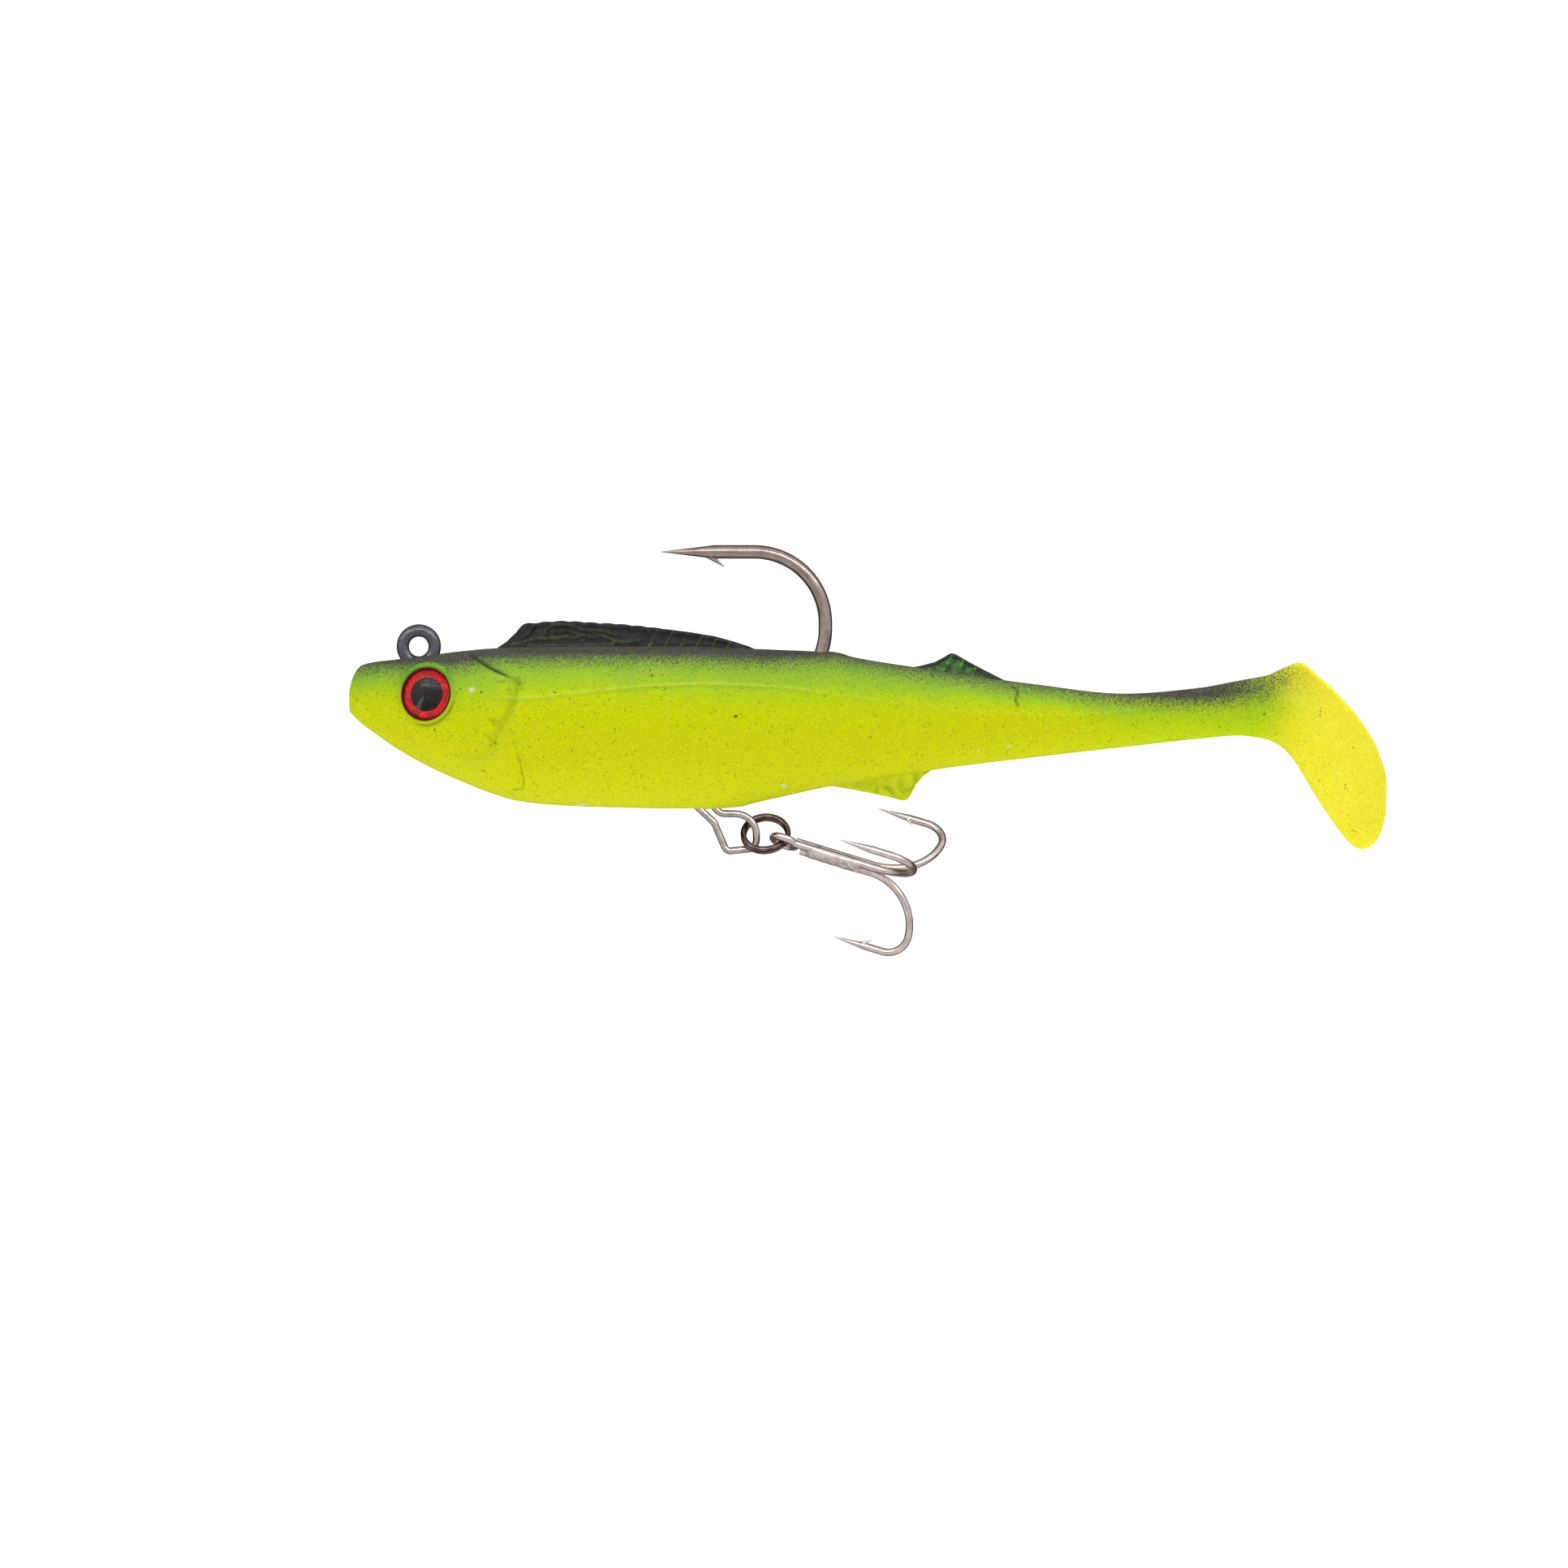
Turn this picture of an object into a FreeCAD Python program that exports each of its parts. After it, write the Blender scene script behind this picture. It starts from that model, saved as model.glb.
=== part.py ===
import FreeCAD, Part
import math
import os
import Sketcher

# Soft-plastic swimbait moulded over a weighted jig hook, with a belly treble.
# Millimetres. The origin is the centre of the line-tie eye, +X runs to the
# tail, +Z is up and -Y is the fish's left side.

SIZES = [
    # line tie and jig hook, one bent wire
    ("hook_wire_d", 1.7, "jig hook wire"),
    ("tie_inner_r", 1.15, "line tie, inside of the bent ring"),
    ("tie_land_r", 1.2, "line tie, coined bore that takes the snap"),
    ("tie_wire_d", 1.6, "line tie ring wire"),
    ("neck_start_x", 0, "neck leaves the ring here"),
    ("neck_start_z", -1.95, "neck leaves the ring here"),
    ("neck_run", 1.6, "neck, straight down into the head"),
    ("neck_bend_r", 3, "neck to shank"),
    ("shank_run", 38.4, "straight shank"),
    ("lower_bend_r", 8.7, "shank to back of the bend"),
    ("bend_back_run", 0.75, "straight back of the bend"),
    ("upper_bend_r", 8.75, "back of the bend to the point"),
    ("point_run", 4.95, "straight before the taper"),
    ("point_taper", 6.5, "ground point"),
    ("square_turn", 90, "a quarter turn, degrees"),
    ("straight_down", -90, "heading of the neck, degrees"),
    ("tip_r", 0.05, "radius left on a ground point"),
    ("hook_barb_d", 1.1, "root of the jig hook barb"),
    ("hook_barb_root", 1.2, "barb root, along the ground point"),
    ("hook_barb_run", 3.1, "length of the jig hook barb"),
    ("barb_lean", 37, "barbs stand off the wire, degrees"),
    # belly hanger, planar stainless wire cast into the ballast
    ("hanger_wire_d", 0.9, "belly hanger wire"),
    ("hanger_x", 30.5, "front leg starts inside the ballast"),
    ("hanger_z", -16.2, "front leg starts inside the ballast"),
    ("hanger_heading", -43, "front leg heading, degrees"),
    ("hanger_leg_run", 7.75, "front leg"),
    ("hanger_knee_r", 1.5, "knee of the front leg"),
    ("hanger_knee_turn", 24, "degrees"),
    ("hanger_drop_run", 2.94, "steep part of the front leg"),
    ("hanger_corner_r", 0.8, "lower corner"),
    ("hanger_corner_turn", 73, "degrees"),
    ("hanger_floor_run", 2.09, "bottom of the loop"),
    ("hanger_nose_r", 1.15, "tight bend that carries the split ring"),
    ("hanger_nose_turn", 84, "degrees"),
    ("hanger_nose_run", 0.6, "between the two bends"),
    ("hanger_crown_r", 2.6, "wide bend over the ring"),
    ("hanger_crown_turn", 89, "degrees"),
    ("hanger_roof_run", 1.3, "top of the loop"),
    ("hanger_lift_r", 1.5, "turn up into the belly"),
    ("hanger_lift_turn", 50, "degrees"),
    ("hanger_tail_run", 5.5, "rear leg, ends inside the ballast"),
    # split ring, a flat helix of two turns
    ("ring_mean_r", 2.75, "split ring, middle of the wire"),
    ("ring_wire_w", 0.7, "wire across the ring"),
    ("ring_wire_t", 0.55, "wire along the ring axis"),
    ("ring_pitch", 0.58, "pitch of the helix"),
    ("ring_turns", 1.92, "turns"),
    ("ring_x", 42.75, "ring centre"),
    ("ring_z", -23.1, "ring centre"),
    ("ring_roll", 50, "lean of the ring, degrees"),
    ("ring_tilt", -6, "its rear side sits higher, degrees"),
    # treble hook, in its own frame: X along the shank, single hook at -Z
    ("treble_wire_d", 0.95, "treble wire"),
    ("treble_x", 43.8, "treble reference point"),
    ("treble_y", -0.9, "treble reference point"),
    ("treble_z", -23.65, "treble reference point"),
    ("treble_yaw", -13.6, "degrees"),
    ("treble_pitch", 16.5, "degrees"),
    ("treble_roll", 13.1, "degrees"),
    ("treble_eye_mean_r", 1.48, "eye, middle of the wire"),
    ("treble_eye_s", 1.35, "eye centre along the shank"),
    ("treble_eye_roll", -35, "twist of the eye against the double hook"),
    ("treble_shank_offset", 0.57, "each shank from the common axis"),
    ("treble_double_start", 2.7, "shanks of the double leave the eye"),
    ("treble_double_run", 10.1, "straight shanks of the double"),
    ("treble_single_start", 3.6, "front end of the single hook"),
    ("treble_single_run", 9.2, "straight shank of the single hook"),
    ("treble_spread", 120, "between two of the three hooks, degrees"),
    ("treble_gape_r", 6.5, "first bend"),
    ("treble_turn_r", 2.8, "second bend"),
    ("treble_point_run", 2.2, "straight before the taper"),
    ("treble_taper", 4.3, "ground point"),
    ("treble_barb_d", 0.6, "root of a treble barb"),
    ("treble_barb_root", 0.7, "barb root, along the ground point"),
    ("treble_barb_run", 1.7, "length of a treble barb"),
    ("treble_heading", 0, "shanks run along X, degrees"),
    ("braze_start", 4.7, "braze sleeve, front end"),
    ("braze_length", 6.8, "braze sleeve"),
    ("braze_r", 1.1, "braze sleeve"),
    # eyes
    ("eye_r", 3.3, "moulded eye"),
    ("pupil_r", 2.1, "pupil"),
    ("foil_t", 0.3, "iris foil"),
    ("pupil_t", 0.12, "pupil disc"),
    ("lens_h", 1.25, "lens from the foil to its crown"),
    ("lens_dome_r", 6.2, "radius of the lens dome"),
    ("eye_x", 1.2, "eye centre"),
    ("eye_y", 4.2, "back of the foil, from the middle plane"),
    ("eye_z", -5.95, "eye centre"),
    ("eye_yaw", 112, "outward and 22 degrees forward"),
    ("eye_pitch", 84, "from straight up, so 6 degrees above level"),
    # flexing cross-sections, upright cylinders in the soft tail
    ("flex_gap", 0.3, "room between two soft segments"),
    ("rear_flex_x", 77.5, "first flexing section"),
    ("rear_flex_r", 3.1, "first flexing section"),
    ("stem_flex_x", 89, "second flexing section"),
    ("stem_flex_r", 2.3, "second flexing section"),
    ("paddle_flex_x", 100.5, "third flexing section"),
    ("paddle_flex_r", 1.75, "third flexing section"),
    ("cut_depth", 60, "size of the cutting blocks"),
    # paddle
    ("web_t", 1.25, "half thickness of the paddle web"),
    ("rim_t", 0.7, "thickness of the sole at its rim"),
    ("flare", 2.3, "how hollow the flare is, as a power"),
]

# Fish form: name, x, centre z, half height, half width.
FORM = [
    ("nose", -8.55, -6.65, 1.3, 1.2),
    ("lip", -8.1, -6.3, 2.2, 1.8),
    ("snout", -7.0, -5.95, 3.6, 2.35),
    ("cheek", -5.4, -6.35, 4.4, 2.8),
    ("brow", -2.8, -7.1, 5.45, 3.65),
    ("eyes", 1.0, -7.95, 6.75, 5.2),
    ("jaw", 5.5, -8.65, 8.1, 6.35),
    ("gill", 12, -9.6, 9.45, 6.95),
    ("shoulder", 22, -9.9, 9.85, 7.15),
    ("belly", 33, -10.0, 9.98, 6.85),
    ("bend_exit", 44, -9.55, 9.05, 6.15),
    ("waist", 54, -9.1, 7.7, 5.15),
    ("flank", 65, -9.0, 5.9, 4.0),
    ("rear", 76, -9.15, 4.5, 3.2),
    ("stem", 87, -9.05, 3.3, 2.45),
    ("wrist", 96, -8.3, 3.12, 1.95),
    ("ankle", 104.5, -7.2, 3.6, 1.65),
]

# Lead ballast cast round the shank: name, x, centre z, half height, half width.
BALLAST = [
    ("chin", 2.5, -8.6, 2.2, 1.7),
    ("throat", 7, -9.6, 4.6, 3.3),
    ("chest", 16, -10.8, 6.2, 4.2),
    ("middle", 27, -11.3, 6.2, 4.1),
    ("heel", 35, -11.8, 5.0, 3.2),
    ("end", 38.5, -12.2, 3.0, 2.0),
]

# Fin outlines in the middle plane: name, half thickness, corner points.
FINS = {
    "dorsal_fin": (0.55, [(10.2, -2.5), (10.2, -0.3), (12.6, 2.5), (14, 2.9), (18, 3.1),
                          (28, 2.45), (35, 1.5), (41.5, -0.15), (42.2, -2.5)]),
    "second_dorsal_fin": (0.5, [(58.5, -4.5), (59.6, -2.2), (63.4, -1.35), (65.6, -0.75),
                                (72.2, -4.3), (72.2, -6)]),
    "anal_fin": (0.5, [(49.6, -15.5), (50.6, -17.3), (59.6, -19.05), (60.1, -18.9),
                       (61.1, -16.6), (62.6, -14.0)]),
}

# Paddle: instep point, sole point and sole half width at each station,
# fanning from the upright ankle to the toe. The first is the narrow ankle.
PADDLE = [
    ("ankle", 102.6, -11.05, 102.6, -4.0, 0.8),
    ("heel_turn", 105.6, -12.3, 106.6, -2.6, 1.2),
    ("heel", 107.3, -13.6, 109.2, -2.1, 2.4),
    ("top", 108.3, -15.0, 111.0, -3.6, 4.5),
    ("upper", 109.4, -16.9, 114.0, -7.0, 6.4),
    ("middle", 110.5, -18.9, 117.0, -10.8, 7.4),
    ("lower", 112.0, -21.0, 118.9, -15.4, 7.3),
    ("ball", 113.7, -23.0, 119.3, -19.2, 6.0),
    ("toe", 115.2, -24.4, 118.4, -22.9, 3.8),
    ("toe_end", 116.0, -24.9, 117.3, -24.4, 1.8),
]

doc = FreeCAD.newDocument("swimbait")
sheet = doc.addObject("Spreadsheet::Sheet", "Sizes")


# ---------------------------------------------------------------- the sheet

def sheet_rows():
    """Every driving dimension as (alias, value, meaning)."""
    rows = list(SIZES)
    for prefix, table in (("form", FORM), ("ballast", BALLAST)):
        for name, x, z, half_height, half_width in table:
            rows.append((f"{prefix}_{name}_x", x, "station along the fish"))
            rows.append((f"{prefix}_{name}_z", z, "centre height"))
            rows.append((f"{prefix}_{name}_hh", half_height, "half height"))
            rows.append((f"{prefix}_{name}_hw", half_width, "half width"))
    for fin, (half_t, corners) in FINS.items():
        rows.append((f"{fin}_t", 2 * half_t, "fin thickness"))
        for i, (x, z) in enumerate(corners):
            rows.append((f"{fin}_x{i}_", x, "fin corner"))
            rows.append((f"{fin}_z{i}_", z, "fin corner"))
    for name, instep_x, instep_z, sole_x, sole_z, half_width in PADDLE:
        rows.append((f"paddle_{name}_instep_x", instep_x, "paddle, instep side"))
        rows.append((f"paddle_{name}_instep_z", instep_z, "paddle, instep side"))
        rows.append((f"paddle_{name}_sole_x", sole_x, "paddle, sole side"))
        rows.append((f"paddle_{name}_sole_z", sole_z, "paddle, sole side"))
        rows.append((f"paddle_{name}_hw", half_width, "paddle, half width of the sole"))
    return rows


def fill_sheet():
    for i, (alias, value, meaning) in enumerate(sheet_rows(), 1):
        sheet.set(f"A{i}", meaning)
        sheet.set(f"B{i}", str(value))
        sheet.setAlias(f"B{i}", alias)
    doc.recompute()


def size(alias):
    """A dimension read from the sheet, for code that has to start from a number."""
    return float(getattr(sheet, alias))


# ------------------------------------------------------------------ helpers

def bind(obj, **expressions):
    for prop, expression in expressions.items():
        obj.setExpression(prop, expression)


def new_body(name):
    body = doc.addObject("PartDesign::Body", name)
    body.Label = name
    return body


def origin_plane(body, role):
    return [f for f in body.Origin.OriginFeatures if f.Role == role][0]


def origin_axis(body, role):
    return origin_plane(body, role)


def attach(feature, body, role, offset=None):
    feature.AttachmentSupport = (origin_plane(body, role), [""])
    feature.MapMode = "FlatFace"
    if offset is not None:
        feature.AttachmentOffset = offset


def new_sketch(body, name, role, offset=None):
    sketch = body.newObject("Sketcher::SketchObject", name)
    attach(sketch, body, role, offset)
    return sketch


def constrain(sketch, kind, *where, value, expression):
    """A dimensional constraint that follows the sheet."""
    index = sketch.addConstraint(Sketcher.Constraint(kind, *where, value))
    sketch.setExpression(f"Constraints[{index}]", expression)


def roll_about_x(degrees):
    return FreeCAD.Placement(FreeCAD.Vector(), FreeCAD.Rotation(FreeCAD.Vector(1, 0, 0), degrees))


def ellipse_sketch(body, name, x_alias, z_alias, height_alias, width_alias):
    """An upright ellipse across the fish, at its station."""
    sketch = new_sketch(body, name, "YZ_Plane")
    sketch.setExpression("AttachmentOffset.Base.z", f"Sizes.{x_alias}")
    centre = FreeCAD.Vector(0, size(z_alias), 0)
    top = FreeCAD.Vector(0, size(z_alias) + size(height_alias), 0)
    side = FreeCAD.Vector(size(width_alias), size(z_alias), 0)
    curve = sketch.addGeometry(Part.Ellipse(top, side, centre), False)
    sketch.exposeInternalGeometry(curve)
    long_axis, short_axis = curve + 1, curve + 2
    sketch.addConstraint(Sketcher.Constraint("PointOnObject", curve, 3, -2))
    sketch.addConstraint(Sketcher.Constraint("Vertical", long_axis))
    constrain(sketch, "DistanceY", curve, 3, value=size(z_alias), expression=f"Sizes.{z_alias}")
    constrain(sketch, "Distance", long_axis, value=2 * size(height_alias),
              expression=f"2 * Sizes.{height_alias}")
    constrain(sketch, "Distance", short_axis, value=2 * size(width_alias),
              expression=f"2 * Sizes.{width_alias}")
    return sketch


def ellipse_loft(name, prefix, table):
    """A smooth solid through one ellipse per station."""
    body = new_body(name)
    rings = []
    for station, *_ in table:
        key = f"{prefix}_{station}"
        rings.append(ellipse_sketch(body, f"{key}_section", f"{key}_x", f"{key}_z", f"{key}_hh", f"{key}_hw"))
    doc.recompute()
    loft = body.newObject("PartDesign::AdditiveLoft", f"{name}_loft")
    loft.Profile = rings[0]
    loft.Sections = rings[1:]
    loft.Ruled = False
    return body


def outline_sketch(body, name, corners, aliases):
    """A closed outline in the middle plane with every corner held by the sheet."""
    sketch = new_sketch(body, name, "XZ_Plane")
    count = len(corners)
    for i in range(count):
        start = FreeCAD.Vector(*corners[i], 0)
        end = FreeCAD.Vector(*corners[(i + 1) % count], 0)
        sketch.addGeometry(Part.LineSegment(start, end), False)
    for i in range(count):
        sketch.addConstraint(Sketcher.Constraint("Coincident", i, 2, (i + 1) % count, 1))
    for i, (x, z) in enumerate(corners):
        constrain(sketch, "DistanceX", i, 1, value=x, expression=aliases[i][0])
        constrain(sketch, "DistanceY", i, 1, value=z, expression=aliases[i][1])
    return sketch


def plate(body, name, corners, aliases, thickness):
    """A plate of even thickness, half on each side of the middle plane."""
    sketch = outline_sketch(body, f"{name}_outline", corners, aliases)
    pad = body.newObject("PartDesign::Pad", f"{name}_pad")
    pad.Profile = sketch
    pad.SideType = "Symmetric"
    bind(pad, Length=thickness)
    return pad


class WirePath:
    """A planar wire drawn as runs and tangent bends, as a wire bender makes it."""

    def __init__(self, body, name, start, heading, plane_roll=0):
        self.body = body
        self.name = name
        self.start = start
        self.heading_alias = heading
        self.heading = size(heading)
        self.point = FreeCAD.Vector(size(start[0]), size(start[1]), 0)
        self.roll = plane_roll
        self.sketch = new_sketch(body, f"{name}_path", "XZ_Plane", roll_about_x(plane_roll))
        self.last = None

    def _direction(self, degrees):
        angle = math.radians(degrees)
        return FreeCAD.Vector(math.cos(angle), math.sin(angle), 0)

    def _join(self, index, first_vertex):
        if self.last is None:
            constrain(self.sketch, "DistanceX", index, first_vertex,
                      value=self.point.x, expression=f"Sizes.{self.start[0]}")
            constrain(self.sketch, "DistanceY", index, first_vertex,
                      value=self.point.y, expression=f"Sizes.{self.start[1]}")
            return
        previous, vertex = self.last
        self.sketch.addConstraint(Sketcher.Constraint("Tangent", previous, vertex, index, first_vertex))

    def run(self, alias):
        """A straight run whose length is a cell of the sheet."""
        end = self.point + self._direction(self.heading) * size(alias)
        index = self.sketch.addGeometry(Part.LineSegment(self.point, end), False)
        self._join(index, 1)
        if self.last is None:
            constrain(self.sketch, "Angle", index, value=math.radians(self.heading),
                      expression=f"Sizes.{self.heading_alias} * 1 deg")
        constrain(self.sketch, "Distance", index, value=size(alias), expression=f"Sizes.{alias}")
        self.last = (index, 2)
        self.point = end
        return self

    def bend(self, radius_alias, turn_alias, left=True):
        """A bend to the left or right whose radius and turn are cells of the sheet."""
        radius = size(radius_alias)
        turn = size(turn_alias) * (1 if left else -1)
        side = 90 if left else -90
        centre = self.point + self._direction(self.heading + side) * radius
        first = math.radians(self.heading - side)
        second = math.radians(self.heading - side + turn)
        circle = Part.Circle(centre, FreeCAD.Vector(0, 0, 1), radius)
        arc = Part.ArcOfCircle(circle, min(first, second), max(first, second))
        index = self.sketch.addGeometry(arc, False)
        entry, leave = (1, 2) if left else (2, 1)
        self._join(index, entry)
        constrain(self.sketch, "Radius", index, value=radius, expression=f"Sizes.{radius_alias}")
        constrain(self.sketch, "Angle", index, value=abs(second - first),
                  expression=f"Sizes.{turn_alias} * 1 deg")
        self.last = (index, leave)
        self.heading += turn
        self.point = centre + self._direction(self.heading - side) * radius
        return self

    def sweep(self, wire_alias):
        """Sweeps a round wire along the path."""
        doc.recompute()
        profile = self.body.newObject("Sketcher::SketchObject", f"{self.name}_wire")
        profile.AttachmentSupport = [(self.sketch, "Edge1")]
        profile.MapMode = "NormalToEdge"
        radius = size(wire_alias) / 2
        circle = Part.Circle(FreeCAD.Vector(), FreeCAD.Vector(0, 0, 1), radius)
        index = profile.addGeometry(circle, False)
        profile.addConstraint(Sketcher.Constraint("Coincident", index, 3, -1, 1))
        constrain(profile, "Radius", index, value=radius, expression=f"Sizes.{wire_alias} / 2")
        doc.recompute()
        pipe = self.body.newObject("PartDesign::AdditivePipe", f"{self.name}_pipe")
        pipe.Profile = profile
        pipe.Spine = (self.sketch, [])
        doc.recompute()
        return self

    def _spike(self, name, along, lean):
        """A cone in the plane of the wire; lean turns it from the heading to the left."""
        cone = self.body.newObject("PartDesign::AdditiveCone", name)
        axis = self._direction(self.heading + lean)
        across = self._direction(self.heading + lean + 90)
        foot = self.point + self._direction(self.heading) * along
        rotation = FreeCAD.Rotation(across, FreeCAD.Vector(0, 0, 1), axis, "ZXY")
        offset = roll_about_x(self.roll).multiply(FreeCAD.Placement(foot, rotation))
        attach(cone, self.body, "XZ_Plane", offset)
        return cone

    def ground_point(self, wire_alias, taper_alias):
        """The ground point goes on from the end of the wire."""
        cone = self._spike(f"{self.name}_point", 0, 0)
        bind(cone, Radius1=f"Sizes.{wire_alias} / 2", Radius2="Sizes.tip_r", Height=f"Sizes.{taper_alias}")
        doc.recompute()
        return self

    def barb(self, key):
        """A sliver raised from the inside of the wire, leaning away from the point."""
        cone = self._spike(f"{self.name}_barb", size(f"{key}_barb_root"), 180 - size("barb_lean"))
        bind(cone, Radius1=f"Sizes.{key}_barb_d / 2", Radius2="Sizes.tip_r", Height=f"Sizes.{key}_barb_run")
        doc.recompute()
        return self


fill_sheet()


# ---------------------------------------------------------------- the metal

def build_jig_hook():
    body = new_body("jig_hook")
    wire = WirePath(body, "hook", ("neck_start_x", "neck_start_z"), "straight_down")
    wire.run("neck_run").bend("neck_bend_r", "square_turn").run("shank_run")
    wire.bend("lower_bend_r", "square_turn").run("bend_back_run")
    wire.bend("upper_bend_r", "square_turn").run("point_run")
    wire.sweep("hook_wire_d").ground_point("hook_wire_d", "point_taper").barb("hook")
    ring = body.newObject("PartDesign::AdditiveTorus", "line_tie_ring")
    attach(ring, body, "XZ_Plane")
    bind(ring, Radius1="Sizes.tie_inner_r + Sizes.tie_wire_d / 2", Radius2="Sizes.tie_wire_d / 2")
    doc.recompute()
    bore = body.newObject("PartDesign::SubtractiveCylinder", "line_tie_bore")
    attach(bore, body, "XZ_Plane")
    bind(bore, Radius="Sizes.tie_land_r", Height="2 * Sizes.tie_wire_d")
    bore.setExpression("AttachmentOffset.Base.z", "-Sizes.tie_wire_d")
    return body


def build_belly_hanger():
    body = new_body("belly_hanger")
    wire = WirePath(body, "hanger", ("hanger_x", "hanger_z"), "hanger_heading")
    wire.run("hanger_leg_run").bend("hanger_knee_r", "hanger_knee_turn", left=False)
    wire.run("hanger_drop_run").bend("hanger_corner_r", "hanger_corner_turn")
    wire.run("hanger_floor_run").bend("hanger_nose_r", "hanger_nose_turn")
    wire.run("hanger_nose_run").bend("hanger_crown_r", "hanger_crown_turn").run("hanger_roof_run")
    wire.bend("hanger_lift_r", "hanger_lift_turn", left=False).run("hanger_tail_run")
    wire.sweep("hanger_wire_d")
    return body


def build_ballast(lead, jig_hook, belly_hanger):
    wires = doc.addObject("Part::MultiFuse", "cast_in_wires")
    wires.Shapes = [jig_hook, belly_hanger]
    ballast = doc.addObject("Part::Cut", "ballast_weight")
    ballast.Base = lead
    ballast.Tool = wires
    return ballast


def build_split_ring():
    body = new_body("split_ring")
    profile = new_sketch(body, "split_ring_wire", "XZ_Plane")
    centre = FreeCAD.Vector(size("ring_mean_r"), 0, 0)
    side = centre + FreeCAD.Vector(size("ring_wire_w") / 2, 0, 0)
    top = centre + FreeCAD.Vector(0, size("ring_wire_t") / 2, 0)
    curve = profile.addGeometry(Part.Ellipse(side, top, centre), False)
    profile.exposeInternalGeometry(curve)
    profile.addConstraint(Sketcher.Constraint("PointOnObject", curve, 3, -1))
    profile.addConstraint(Sketcher.Constraint("Horizontal", curve + 1))
    constrain(profile, "DistanceX", curve, 3, value=size("ring_mean_r"), expression="Sizes.ring_mean_r")
    constrain(profile, "Distance", curve + 1, value=size("ring_wire_w"), expression="Sizes.ring_wire_w")
    constrain(profile, "Distance", curve + 2, value=size("ring_wire_t"), expression="Sizes.ring_wire_t")
    doc.recompute()
    helix = body.newObject("PartDesign::AdditiveHelix", "split_ring_coil")
    helix.Profile = profile
    helix.ReferenceAxis = (origin_axis(body, "Z_Axis"), [""])
    helix.Mode = "pitch-turns-angle"
    bind(helix, Pitch="Sizes.ring_pitch", Turns="Sizes.ring_turns")
    # The coil climbs from its profile, so half its height below the centre is its start.
    bind(body, Placement="placement(vector(Sizes.ring_x; 0; Sizes.ring_z);"
                         " rotation(0; Sizes.ring_tilt; Sizes.ring_roll))"
                         " * placement(vector(0; 0; -Sizes.ring_pitch * Sizes.ring_turns / 2);"
                         " rotation(0; 0; 0))")
    return body


TREBLE_FRAME = ("placement(vector(Sizes.treble_x; Sizes.treble_y; Sizes.treble_z);"
                " rotation(Sizes.treble_yaw; Sizes.treble_pitch; Sizes.treble_roll))")


def treble_hook_wire(body, name, start, run, roll):
    wire = WirePath(body, name, (start, "treble_shank_offset"), "treble_heading", roll)
    wire.run(run).bend("treble_gape_r", "square_turn").bend("treble_turn_r", "square_turn")
    wire.run("treble_point_run").sweep("treble_wire_d")
    wire.ground_point("treble_wire_d", "treble_taper").barb("treble")


def build_treble_double():
    """One wire: a hook, the eye and another hook."""
    body = new_body("treble_double_hook")
    half_spread = size("treble_spread") / 2
    for name, roll in (("near", half_spread), ("far", -half_spread)):
        treble_hook_wire(body, f"{name}_hook", "treble_double_start", "treble_double_run", roll)
    eye = body.newObject("PartDesign::AdditiveTorus", "treble_eye")
    attach(eye, body, "XY_Plane", roll_about_x(size("treble_eye_roll")))
    bind(eye, Radius1="Sizes.treble_eye_mean_r", Radius2="Sizes.treble_wire_d / 2")
    eye.setExpression("AttachmentOffset.Base.x", "Sizes.treble_eye_s")
    bind(body, Placement=TREBLE_FRAME)
    return body


def build_treble_single():
    body = new_body("treble_single_hook")
    treble_hook_wire(body, "lower_hook", "treble_single_start", "treble_single_run", 180)
    bind(body, Placement=TREBLE_FRAME)
    return body


def build_treble_braze(double_hook, single_hook):
    sleeve = doc.addObject("Part::Cylinder", "braze_sleeve")
    bind(sleeve, Radius="Sizes.braze_r", Height="Sizes.braze_length")
    bind(sleeve, Placement=TREBLE_FRAME + " * placement(vector(Sizes.braze_start; 0; 0); rotation(0; 90; 0))")
    hooks = doc.addObject("Part::MultiFuse", "brazed_wires")
    hooks.Shapes = [double_hook, single_hook]
    braze = doc.addObject("Part::Cut", "treble_braze")
    braze.Base = sleeve
    braze.Tool = hooks
    return braze


# ----------------------------------------------------------------- the eyes

def eye_frame(side):
    """The eye's own frame, its Z axis outward; side is -1 on the left."""
    return (f"placement(vector(Sizes.eye_x; {side} * Sizes.eye_y; Sizes.eye_z);"
            f" rotation({side} * Sizes.eye_yaw; Sizes.eye_pitch; 0))")


def disc(name, frame, radius, height, lift="0"):
    cylinder = doc.addObject("Part::Cylinder", name)
    bind(cylinder, Radius=radius, Height=height)
    bind(cylinder, Placement=f"{frame} * placement(vector(0; 0; {lift}); rotation(0; 0; 0))")
    return cylinder


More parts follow.
